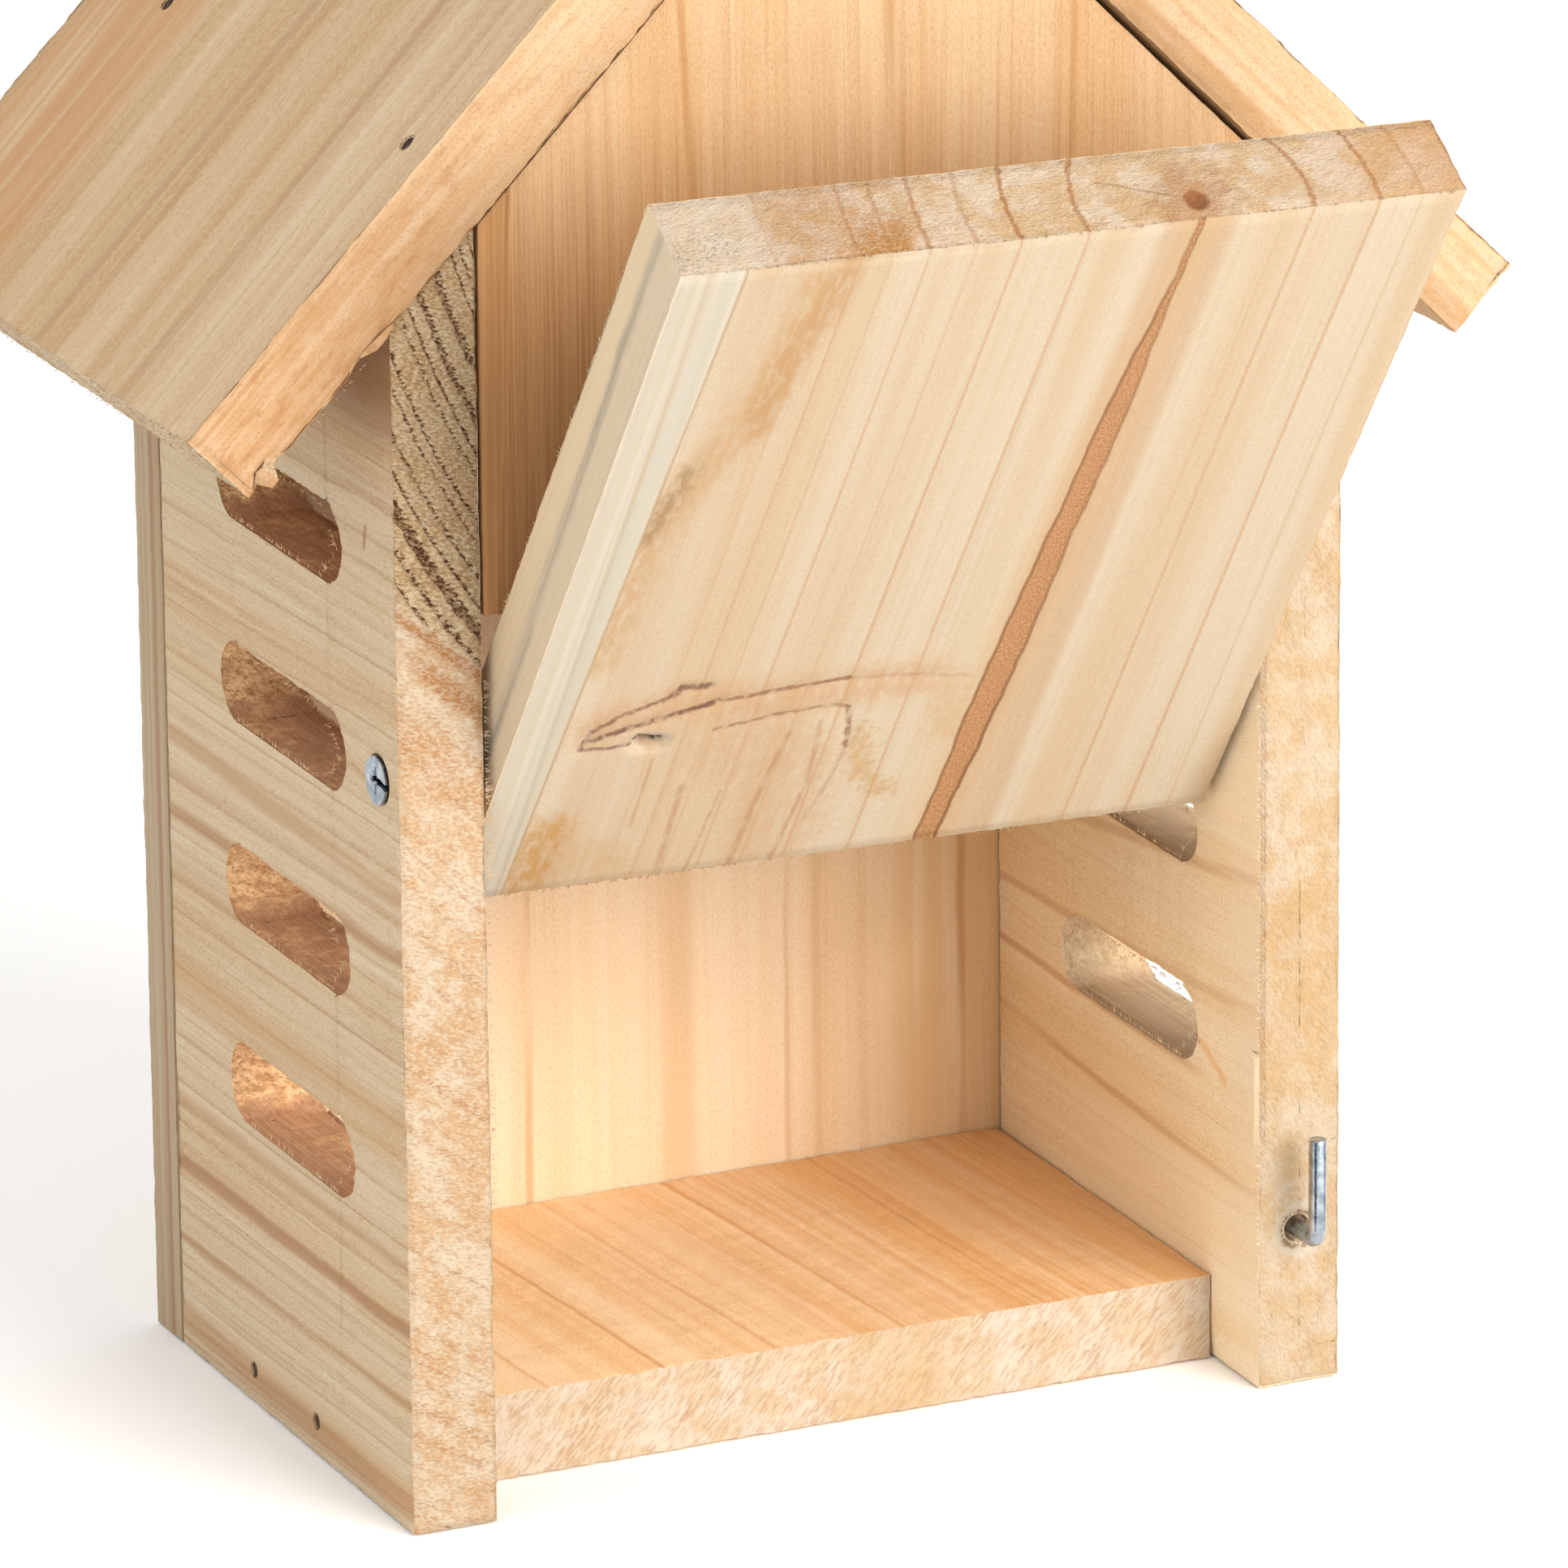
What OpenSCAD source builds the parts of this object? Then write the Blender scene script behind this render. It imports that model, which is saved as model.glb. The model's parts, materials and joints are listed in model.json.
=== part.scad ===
// Slotted wooden insect house with a swing-up front and a right-angled roof.
// Millimetres. Z is up and the front faces -Y. The origin is the middle of the underside.

/* [House] */
// Width over the two side boards
house_w = 131; // [120:1:150]
// Depth of the side boards
side_d = 78; // [74:1:110]
// Mean height of the side boards at their outer faces
wall_h = 156; // [150:1:190]
// Thickness of every board apart from the back panel
board_t = 12; // [10:0.5:14]
// Thickness of the back panel
back_t = 9; // [6:0.5:12]

/* [Roof] */
// Length of a roof board's underside, from the ridge to the eave
slope_len = 117; // [110:0.5:135]
// How far the ridge sits to the right of the middle of the house
ridge_x = -2; // [-3:0.5:3]
// How far the roof reaches past the front
roof_front = 1.5; // [0:0.5:10]
// How far the roof reaches past the back panel
roof_back = 17; // [0:0.5:30]
// Saw gap between the gable board and the underside of the roof
gable_fit = 0.3; // [0:0.1:1]

/* [Door] */
// How far the door is lifted, where 0 is shut and the largest value is its stop
open_angle = 145.6; // [0:0.2:145.6]
// Height of the pivot axis in the middle of the house
pivot_z = 97.8; // [90:0.1:110]
// How much lower the right pivot screw sits than the left one, so that the lifted door hangs askew
pivot_drop = 1.5; // [0:0.1:2]
// Length of door above the pivot when it is shut
door_above = 20.4; // [10:0.2:24]
// Gap at each side of the door
door_gap = 0.8; // [0.4:0.1:2]
// Gap under the shut door
door_foot = 0; // [0:0.5:10]
// Gap between the turning top end of the door and the gable board
swing_gap = 0.4; // [0.3:0.1:3]
// Gap between the shut door and the front edge of the floor
floor_gap = 1; // [0.5:0.5:6]

/* [Slots] */
// Slots in each side board
slot_count = 4; // [1:1:4]
// Length of a slot over its round ends
slot_len = 40.5; // [20:0.5:46]
// Height of a slot
slot_h = 10; // [4:0.5:12]
// Distance from the front to the middle of a slot
slot_from_front = 38; // [36:0.5:44]
// Height of the middle of the lowest slot
slot_z = 43.8; // [36:0.1:50]
// Height from one slot to the next
slot_pitch = 27.05; // [16:0.05:30]

/* [Pivot screws] */
// Shank diameter
screw_d = 3; // [2.5:0.1:3.5]
// Head diameter
screw_head_d = 6.2; // [5:0.1:7]
// Length over all
screw_len = 25; // [22:0.5:30]
// How far the head stands out of the side board
screw_proud = 0.5; // [0:0.1:1]

/* [Turn hook] */
// Wire diameter
hook_wire = 2.3; // [1.8:0.1:3]
// Height of the hook's screw above the underside of the house
hook_z = 21.3; // [18:0.1:30]
// Height of the hook's tip above its screw
hook_rise = 14; // [10:0.5:20]
// Distance from the front of the house to the middle of the upright leg
hook_reach = 5; // [4:0.5:8]
// Depth of the hook's screw in the side board
hook_grip = 15; // [10:0.5:15]

/* [Brads] */
// Shank diameter
brad_d = 1.4; // [1:0.1:1.8]
// Head diameter
brad_head_d = 2; // [1.8:0.1:2.6]
// Length over all
brad_len = 30; // [25:1:30]
// Distance from the front of the house to the floor brads
floor_brad_y = [31.4, 52.4]; // [20:0.1:70]
// Height of the floor brads
floor_brad_z = 5; // [4:0.5:8]
// Distance of the brads up the slope from a roof board's eave
roof_brad_s = [46, 92]; // [10:0.5:105]
// Heights of the brads that hold the back panel to the sides
back_brad_z = [20, 84.4, 145]; // [16:0.1:150]
// Distance from the middle to the brads that hold the back panel to the floor
back_brad_x = 30; // [15:1:45]

/* [Hidden] */
$fn = 64;
eps = 1;
root2 = sqrt(2);
running_gap = 0.05;
head_gap = 0.3;

// The roof boards meet at a right angle, so both slopes are at 45 degrees
roof_pitch = 45;
half_w = house_w / 2;
inner_half = half_w - board_t;
house_d = side_d + back_t;
front_y = -house_d / 2;
inner_back_y = front_y + side_d;
ridge_under_z = wall_h + half_w;
left_wall_h = wall_h - ridge_x;
right_wall_h = wall_h + ridge_x;
roof_y = front_y - roof_front;
roof_d = house_d + roof_front + roof_back;

pivot_y = front_y + board_t / 2;
door_w = 2 * (inner_half - door_gap);
door_len = pivot_z + door_above - door_foot;
pivot_lean = atan(pivot_drop / house_w);
pivot_left_z = pivot_z + pivot_drop / 2;
door_top_z = pivot_z + door_above;
gable_z = pivot_left_z + norm([door_top_z - pivot_left_z, board_t / 2]) + swing_gap;
floor_y = front_y + board_t + floor_gap;

screw_rim = 0.4;
screw_point = 4;
recess_l = 0.58 * screw_head_d;
recess_w = 0.75;
recess_depth = 1.1;
screw_x = half_w + screw_proud;
screw_tip_x = screw_x - screw_len;

hook_x = half_w - board_t / 2;
hook_bend = 1.8;
hook_point = 2.5;
hook_spot_d = 7.8;
hook_spot_depth = 0.7;
hook_mouth_d = 3.8;
hook_mouth_depth = 2;

brad_sink = 0.3;
brad_dent_depth = 0.4;
brad_dent_d = brad_head_d + 0.3;
brad_head_t = 0.7;
brad_point = 1.5;
edge_brad_y = 4.5;
ridge_brad_shares = [0.15, 0.5, 0.85];

pale_pine = [0.87, 0.74, 0.56];
warm_pine = [0.86, 0.66, 0.43];
sawn_pine = [0.84, 0.67, 0.47];
zinc = [0.78, 0.81, 0.84];

// An outline drawn in X and Z, stood up and made t thick towards the back from y
module stand_up(y, t) {
    translate([0, y + t, 0]) rotate([90, 0, 0]) linear_extrude(t) children();
}

// Places what is drawn along -Z from the origin so that it goes into the house from the left,
// starting at a distance x from the middle
module into_left(x) {
    translate([-x, 0, 0]) rotate([0, -90, 0]) children();
}

// The slightly leaning axis through both pivot screws
module at_pivot() {
    translate([0, pivot_y, pivot_z]) rotate([0, pivot_lean, 0]) children();
}

// Places what is drawn on the left slope from the underside of the ridge, with X up the slope;
// side is 0 for the left slope and 1 for the right one
module on_slope(side) {
    translate([ridge_x, 0, ridge_under_z]) mirror([side, 0, 0]) rotate([0, -roof_pitch, 0]) children();
}

// A through slot with round ends, along Y, centred on the origin and cut along X
module slot_cut() {
    straight = slot_len - slot_h;
    depth = board_t + 2 * eps;
    translate([-depth / 2, -straight / 2, -slot_h / 2]) cube([depth, straight, slot_h]);
    for (end = [-1, 1])
        translate([0, end * straight / 2, 0]) rotate([0, 90, 0])
            cylinder(d = slot_h, h = depth, center = true);
}

// Hole and countersink in which a pivot screw turns, drawn along -Z from the board's face
module screw_bore() {
    bore_r = screw_d / 2 + running_gap;
    mouth_r = screw_head_d / 2 + head_gap;
    translate([0, 0, -board_t - eps]) cylinder(r = bore_r, h = board_t + 2 * eps);
    translate([0, 0, bore_r - mouth_r]) cylinder(r1 = bore_r, r2 = mouth_r, h = mouth_r - bore_r);
    cylinder(r = mouth_r, h = eps);
}

// Blind hole with a shallow spot face in the front edge, in which the hook's screw turns
module hook_bore() {
    translate([hook_x, front_y, hook_z]) rotate([-90, 0, 0]) {
        cylinder(d = hook_wire + 2 * running_gap, h = hook_grip + eps);
        cylinder(d = hook_mouth_d, h = hook_mouth_depth);
        cylinder(d1 = hook_spot_d, d2 = hook_mouth_d, h = hook_spot_depth);
    }
}

// A side board on the left, h high at its outer face, with its top sawn to the slope of the roof
module side_board(h) {
    difference() {
        stand_up(front_y, side_d) polygon([
            [-half_w, 0], [-inner_half, 0], [-inner_half, h + board_t], [-half_w, h]]);
        for (i = [0 : slot_count - 1])
            translate([board_t / 2 - half_w, front_y + slot_from_front, slot_z + i * slot_pitch])
                slot_cut();
    }
}

// A board that fills the width from -w to w and follows the roof at its top
module gable_outline(w, low_z, fit) {
    top_z = ridge_under_z - fit * root2;
    polygon([[-w, low_z], [w, low_z], [w, top_z - w + ridge_x], [ridge_x, top_z],
        [-w, top_z - w - ridge_x]]);
}

// A roof board on the left slope, running extra past the underside of the ridge
module roof_board(extra) {
    translate([-slope_len, roof_y, 0]) cube([slope_len + extra, roof_d, board_t]);
}

// Turns the shut door about its pivot
module swing() {
    at_pivot() rotate([-open_angle, 0, 0]) rotate([0, -pivot_lean, 0])
        translate([0, -pivot_y, -pivot_z]) children();
}

// A countersunk wood screw along -Z with the face of its head at the origin
module wood_screw() {
    head_r = screw_head_d / 2;
    shank_r = screw_d / 2;
    difference() {
        rotate_extrude() polygon([[0, 0], [head_r, 0], [head_r, -screw_rim],
            [shank_r, -screw_rim - head_r + shank_r], [shank_r, screw_point - screw_len],
            [0, -screw_len]]);
        for (turn = [0, 90])
            rotate([0, 0, turn]) translate([-recess_l / 2, -recess_w / 2, -recess_depth])
                cube([recess_l, recess_w, recess_depth + eps]);
    }
}

// A headed brad along -Z, its head driven just below the face at the origin
module brad() {
    head_r = brad_head_d / 2;
    shank_r = brad_d / 2;
    translate([0, 0, -brad_sink]) rotate_extrude() polygon([[0, 0], [head_r, 0],
        [shank_r, -brad_head_t], [shank_r, brad_point - brad_len], [0, -brad_len]]);
}

// The dent that driving a brad leaves in the face at the origin
module brad_dent() {
    translate([0, 0, -brad_dent_depth]) cylinder(d = brad_dent_d, h = brad_dent_depth + eps);
}

module at_floor_brads() {
    for (side = [0, 1], y = floor_brad_y)
        mirror([side, 0, 0]) translate([0, front_y + y, floor_brad_z]) into_left(half_w) children();
}

module at_back_brads() {
    for (x = [-hook_x, hook_x], z = back_brad_z)
        translate([x, front_y + house_d, z]) rotate([-90, 0, 0]) children();
    for (x = [-back_brad_x, back_brad_x])
        translate([x, front_y + house_d, board_t / 2]) rotate([-90, 0, 0]) children();
}

// Places for brads through a roof board into the gable board and the back panel
module at_roof_brads(side) {
    on_slope(side) for (s = roof_brad_s, y = [front_y + edge_brad_y, inner_back_y + back_t / 2])
        translate([s - slope_len, y, board_t]) children();
}

// Places for brads through the lapping roof board into the end of the other one
module at_ridge_brads() {
    on_slope(0) for (share = ridge_brad_shares)
        translate([board_t / 2, roof_y + share * roof_d, board_t]) children();
}

module left_side() {
    color(pale_pine) difference() {
        side_board(left_wall_h);
        at_pivot() into_left(half_w) screw_bore();
        at_floor_brads() brad_dent();
    }
}

module right_side() {
    color(pale_pine) difference() {
        mirror([1, 0, 0]) side_board(right_wall_h);
        at_pivot() mirror([1, 0, 0]) into_left(half_w) screw_bore();
        hook_bore();
        at_floor_brads() brad_dent();
    }
}

module back_panel() {
    color(warm_pine) difference() {
        stand_up(inner_back_y, back_t) gable_outline(half_w, 0, 0);
        at_back_brads() brad_dent();
    }
}

module floor_board() {
    color(warm_pine) translate([-inner_half, floor_y, 0])
        cube([2 * inner_half, inner_back_y - floor_y, board_t]);
}

module gable_board() {
    color(warm_pine) stand_up(front_y, board_t) gable_outline(inner_half, gable_z, gable_fit);
}

// The left roof board laps over the end of the right one
module roof_left() {
    color(sawn_pine) difference() {
        on_slope(0) roof_board(board_t);
        at_roof_brads(0) brad_dent();
        at_ridge_brads() brad_dent();
    }
}

module roof_right() {
    color(sawn_pine) difference() {
        on_slope(1) roof_board(0);
        at_roof_brads(1) brad_dent();
    }
}

module door() {
    hold = door_w / 2 - screw_tip_x;
    color(pale_pine) difference() {
        swing() translate([-door_w / 2, front_y, door_foot]) cube([door_w, board_t, door_len]);
        for (side = [0, 1])
            at_pivot() mirror([side, 0, 0]) into_left(screw_tip_x)
                cylinder(d = screw_d, h = hold + eps);
    }
}

module pivot_screw_left() {
    color(zinc) at_pivot() into_left(screw_x) wood_screw();
}

module pivot_screw_right() {
    color(zinc) at_pivot() mirror([1, 0, 0]) into_left(screw_x) wood_screw();
}

// A bent wire whose screw lies along Y and whose leg stands in front of the side board
module turn_hook() {
    r = hook_wire / 2;
    straight = hook_grip - hook_point + hook_reach - hook_bend;
    color(zinc) translate([hook_x, front_y, hook_z]) {
        translate([0, hook_bend - hook_reach, 0]) rotate([-90, 0, 0]) {
            cylinder(r = r, h = straight);
            translate([0, 0, straight]) cylinder(r1 = r, r2 = 0, h = hook_point);
        }
        translate([0, hook_bend - hook_reach, hook_bend]) rotate([90, 0, 90]) rotate([0, 0, 180])
            rotate_extrude(angle = 90) translate([hook_bend, 0]) circle(r = r);
        translate([0, -hook_reach, hook_bend]) cylinder(r = r, h = hook_rise - hook_bend);
    }
}

module floor_brads() {
    color(zinc) at_floor_brads() brad();
}

module back_brads() {
    color(zinc) at_back_brads() brad();
}

module roof_brads_left() {
    color(zinc) at_roof_brads(0) brad();
}

module roof_brads_right() {
    color(zinc) at_roof_brads(1) brad();
}

module ridge_brads() {
    color(zinc) at_ridge_brads() brad();
}

left_side();
right_side();
back_panel();
floor_board();
gable_board();
roof_left();
roof_right();
door();
pivot_screw_left();
pivot_screw_right();
turn_hook();
floor_brads();
back_brads();
roof_brads_left();
roof_brads_right();
ridge_brads();
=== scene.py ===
import json
import math
import random

import bmesh
import bpy
from mathutils import Matrix, Vector

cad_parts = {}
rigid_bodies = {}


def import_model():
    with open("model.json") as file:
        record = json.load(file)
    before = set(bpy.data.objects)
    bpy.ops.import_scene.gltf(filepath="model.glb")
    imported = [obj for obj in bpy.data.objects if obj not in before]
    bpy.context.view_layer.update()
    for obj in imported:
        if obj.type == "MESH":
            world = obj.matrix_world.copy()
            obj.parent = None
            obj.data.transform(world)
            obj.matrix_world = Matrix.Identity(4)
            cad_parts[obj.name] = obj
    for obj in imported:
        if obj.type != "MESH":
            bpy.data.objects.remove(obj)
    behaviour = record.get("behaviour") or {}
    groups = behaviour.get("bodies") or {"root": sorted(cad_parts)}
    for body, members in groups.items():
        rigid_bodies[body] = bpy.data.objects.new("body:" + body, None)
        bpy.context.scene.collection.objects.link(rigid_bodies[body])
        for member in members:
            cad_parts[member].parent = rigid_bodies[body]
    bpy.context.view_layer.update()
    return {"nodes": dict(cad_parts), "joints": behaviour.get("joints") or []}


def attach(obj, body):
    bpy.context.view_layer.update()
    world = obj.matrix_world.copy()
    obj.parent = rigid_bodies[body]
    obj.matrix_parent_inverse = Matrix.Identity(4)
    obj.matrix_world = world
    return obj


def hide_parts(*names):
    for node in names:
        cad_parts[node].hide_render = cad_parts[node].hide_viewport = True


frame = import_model()
nodes = frame["nodes"]
millimetre = 0.001

swing = next(joint for joint in frame["joints"] if joint["name"] == "door_swing")
pivot = Vector(swing["pos_m"])
shutAngle = math.radians(swing["range_deg"][1])
opened = Matrix.Rotation(-shutAngle, 3, Vector(swing["axis"]))  # from the shut front to the front swung up

# Measures in millimetres
frontReach = 43.5  # from the middle to the boards' front ends
ridge = (-2, 0, 221.5)
slotHeights = [43.8 + 27.05 * turn for turn in range(4)]
slotRear = 9.75  # the middles of the slots' round ends
slotFront = -20.75
slotHalf = 4.9
pivotDepth = -37.5


# Camera

cameraView = {
    "aim": (-0.01312, -0.0435, 0.09224),
    "azimuth": 24.465,
    "elevation": 17.823,
    "roll": -0.605,
    "distance": 1.5199,
    "lens": 278.68,
    "sensor": 36.0,
}


def addCamera(look):
    turn = math.radians(look["azimuth"])
    lift = math.radians(look["elevation"])
    roll = math.radians(look["roll"])
    away = Vector((-math.sin(turn) * math.cos(lift), -math.cos(turn) * math.cos(lift), math.sin(lift)))
    level = Vector((math.cos(turn), -math.sin(turn), 0))
    up = level.cross(-away)
    side = level * math.cos(roll) + up * math.sin(roll)
    top = up * math.cos(roll) - level * math.sin(roll)
    bpy.ops.object.camera_add()
    camera = bpy.context.object
    camera.name = "studioCamera"
    camera.data.sensor_width = look["sensor"]
    camera.data.lens = look["lens"]
    camera.data.clip_end = 20
    place = Matrix((side, top, away)).transposed().to_4x4()
    place.translation = Vector(look["aim"]) + away * look["distance"]
    camera.matrix_world = place
    bpy.context.scene.camera = camera
    bpy.context.scene.view_settings.view_transform = "Standard"


addCamera(cameraView)
print("camera placed")


# Studio

studio = {
    "floorSize": 9.0,
    "floorColour": (253, 253, 253),
    "skyColour": (255, 255, 255),
    "skyStrength": 0.93,
    "keyPlace": (0.52, -1.40, 0.66),
    "keySize": 1.0,
    "keyPower": 32.0,
    "keyColour": (255, 250, 243),
    "fillPlace": (-1.3, -0.9, 0.9),
    "fillSize": 1.2,
    "fillPower": 4.2,
}


def paint(red, green, blue):  # a screen colour as the renderer's own numbers
    parts = []
    for part in (red, green, blue):
        level = part / 255
        parts.append(level / 12.92 if level <= 0.04045 else ((level + 0.055) / 1.055) ** 2.4)
    return (*parts, 1.0)


class Wire:  # wraps one shader socket, so that sums and masks read as they are worked out
    def __init__(self, socket):
        self.socket = socket

    def add(self, kind, settings=None, inputs=None, output=0):
        tree = self.socket.id_data
        node = tree.nodes.new(kind)
        for key, value in (settings or {}).items():
            if key == "stops":
                ramp = node.color_ramp
                while len(ramp.elements) < len(value):
                    ramp.elements.new(1.0)
                for element, (place, colour) in zip(ramp.elements, value):
                    element.position = place
                    element.color = colour
            else:
                setattr(node, key, value)
        for key, value in (inputs or {}).items():
            if isinstance(value, Wire):
                tree.links.new(value.socket, node.inputs[key])
            else:
                node.inputs[key].default_value = value
        return Wire(node.outputs[output])

    def sum(self, operation, first, second=0.0, third=0.0):
        return self.add("ShaderNodeMath", {"operation": operation}, {0: first, 1: second, 2: third})

    def __add__(self, other):
        return self.sum("ADD", self, other)

    def __radd__(self, other):
        return self.sum("ADD", other, self)

    def __sub__(self, other):
        return self.sum("SUBTRACT", self, other)

    def __rsub__(self, other):
        return self.sum("SUBTRACT", other, self)

    def __mul__(self, other):
        return self.sum("MULTIPLY", self, other)

    def __rmul__(self, other):
        return self.sum("MULTIPLY", other, self)

    def __truediv__(self, other):
        return self.sum("DIVIDE", self, other)

    def __pow__(self, other):
        return self.sum("POWER", self, other)

    def __abs__(self):
        return self.sum("ABSOLUTE", self)

    def floor(self):
        return self.sum("FLOOR", self)

    def least(self, other):
        return self.sum("MINIMUM", self, other)

    def most(self, other):
        return self.sum("MAXIMUM", self, other)

    def step(self, low, high):  # 0 below low, 1 above high, smooth between
        if low > high:
            return 1 - self.step(high, low)
        settings = {"interpolation_type": "SMOOTHSTEP"}
        return self.add("ShaderNodeMapRange", settings, {0: self, 1: low, 2: high})

    def noise(self, size, detail=2.0, roughness=0.5):
        inputs = {"Vector": self, "Scale": 1 / size, "Detail": detail, "Roughness": roughness}
        return self.add("ShaderNodeTexNoise", {}, inputs)

    def wander(self, size, detail=1.0):  # noise along one number
        inputs = {"W": self, "Scale": 1 / size, "Detail": detail}
        return self.add("ShaderNodeTexNoise", {"noise_dimensions": "1D"}, inputs)

    def dot(self, way):
        return self.add("ShaderNodeVectorMath", {"operation": "DOT_PRODUCT"}, {0: self, 1: way}, output=1)

    def luck(self):  # one random number for each value
        return self.add("ShaderNodeTexWhiteNoise", {"noise_dimensions": "1D"}, {"W": self})

    def blend(self, low, high, mode="MIX"):  # this mask mixes two colours
        settings = {"data_type": "RGBA", "blend_type": mode, "clamp_factor": True}
        return self.add("ShaderNodeMix", settings, {0: self, 6: low, 7: high}, output=2)


def joined(x, y, z):
    start = next(part for part in (x, y, z) if isinstance(part, Wire))
    return start.add("ShaderNodeCombineXYZ", {}, {0: x, 1: y, 2: z})


def near(value, centre, half, soft):  # 1 within half of centre, 0 past half + soft
    return abs(value - centre).step(half + soft, half)


def seen(light, colour):  # the base colour that looks like this where so much light falls
    return tuple(min(part / light, 0.97) for part in paint(*colour)[:3]) + (1.0,)


def newMaterial(name):
    material = bpy.data.materials.new(name)
    material.use_nodes = True
    tree = material.node_tree
    shader = next(node for node in tree.nodes if node.type == "BSDF_PRINCIPLED")
    place = tree.nodes.new("ShaderNodeTexCoord")
    return material, shader, Wire(place.outputs["Object"]), Wire(place.outputs["Normal"])


def plug(shader, name, wire):
    wire.socket.id_data.links.new(wire.socket, shader.inputs[name])


def addStudio(look):
    bpy.ops.mesh.primitive_plane_add(size=look["floorSize"], location=(0, 0, 0))
    ground = bpy.context.object
    ground.name = "studioFloor"
    material, shader, place, normal = newMaterial("studioPaper")
    shader.inputs["Base Color"].default_value = paint(*look["floorColour"])
    shader.inputs["Roughness"].default_value = 0.9
    shader.inputs["Specular IOR Level"].default_value = 0.1
    ground.data.materials.append(material)
    world = bpy.data.worlds.new("studioSky")
    world.use_nodes = True
    sky = world.node_tree.nodes["Background"]
    sky.inputs["Color"].default_value = paint(*look["skyColour"])
    sky.inputs["Strength"].default_value = look["skyStrength"]
    bpy.context.scene.world = world
    for part in ("key", "fill"):
        spot = Vector(look[part + "Place"])
        bpy.ops.object.light_add(type="AREA", location=spot)
        lamp = bpy.context.object
        lamp.name = part + "Light"
        lamp.rotation_euler = (spot - Vector((0, 0, 0.1))).to_track_quat("Z", "Y").to_euler()
        lamp.data.shape = "SQUARE"
        lamp.data.size = look[part + "Size"]
        lamp.data.energy = look[part + "Power"]
    bpy.data.objects["keyLight"].data.color = paint(*look["keyColour"])[:3]


def addCard(name, place, face, size, colour):  # a dark card that only shows in the metal
    way = Vector(face).to_track_quat("Z", "Y").to_euler()
    bpy.ops.mesh.primitive_plane_add(size=1, location=Vector(place), rotation=way)
    card = bpy.context.object
    card.name = name
    card.scale = (size[0], size[1], 1)
    material, shader, spot, normal = newMaterial(name + "Paper")
    shader.inputs["Base Color"].default_value = paint(*colour)
    shader.inputs["Roughness"].default_value = 0.9
    card.data.materials.append(material)
    card.visible_camera = False
    card.visible_diffuse = False
    card.visible_shadow = False


addStudio(studio)
addCard("hookCard", (0.019, -0.082, 0.02), (0.81, 0.58, 0.0), (0.026, 0.05), (40, 52, 58))
addCard("hookCardRight", (0.120, -0.060, 0.02), (-1.0, 0.0, 0.0), (0.02, 0.05), (70, 84, 92))
print("floor and lights placed")


# Wood, worked out in each board's own frame in millimetres:
# across the grain, through the thickness, along the grain

def thread(spot, line):  # a long mark that follows the grain and wanders a little
    across, through, along = spot
    drift = ((along + 31 * line.get("seed", 1)).wander(22) - 0.5) * line.get("wiggle", 1.0)
    middle = drift + along * line.get("lean", 0.0) + line["at"]
    spread = near(across, middle, line["half"], line["soft"])
    patchy = joined(across, through, along * 0.04).noise(2.4, 2.0).step(0.2, 0.55)
    reach = along.step(line["from"] - 6, line["from"] + 6) * along.step(line["to"] + 6, line["to"] - 6)
    return spread * reach * patchy * line["show"]


def stroke(first, second, line):  # a mark that runs through points on a face, given by two of its coordinates
    place = joined(first, second, 0.0)
    fuzz = line.get("fuzz", 0.0)
    if fuzz:
        inputs = {"Vector": place, "Scale": 1 / line.get("grit", 1.2), "Detail": 2.0}
        shaken = place.add("ShaderNodeTexNoise", {}, inputs, output=1)
        shift = place.add("ShaderNodeVectorMath", {"operation": "SUBTRACT"}, {0: shaken, 1: (0.5, 0.5, 0.5)})
        inputs = {0: shift, 1: (3 * fuzz, 3 * fuzz, 0.0), 2: place}
        place = place.add("ShaderNodeVectorMath", {"operation": "MULTIPLY_ADD"}, inputs)
    distance = None
    points = line["points"]
    for start, end in zip(points, points[1:]):
        span = (end[0] - start[0], end[1] - start[1], 0.0)
        length = span[0] ** 2 + span[1] ** 2
        offset = place.add("ShaderNodeVectorMath", {"operation": "SUBTRACT"}, {0: place, 1: (*start, 0.0)})
        along = offset.dot(span)
        share = (along / length).most(0.0).least(1.0)
        foot = share.add("ShaderNodeVectorMath", {"operation": "SCALE"}, {0: span, "Scale": share})
        gap = foot.add("ShaderNodeVectorMath", {"operation": "DISTANCE"}, {0: offset, 1: foot}, output=1)
        distance = gap if distance is None else distance.least(gap)
    return distance.step(line["half"] + line["soft"], line["half"])


def streak(at, half, soft, show, colour, start=-20, stop=110, **more):  # a long mark along the grain
    return {"at": at, "half": half, "soft": soft, "show": show, "colour": colour, "from": start, "to": stop,
            **more}


def scratch(points, half, soft, fuzz, show, colour, **more):  # a stroke with its own colour
    return {"points": points, "half": half, "soft": soft, "fuzz": fuzz, "show": show, "colour": colour,
            **more}


def fringe(start, end, way, count, long):  # torn fibres along an edge
    return {"from": start, "to": end, "way": way, "count": count, "long": long}


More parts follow.
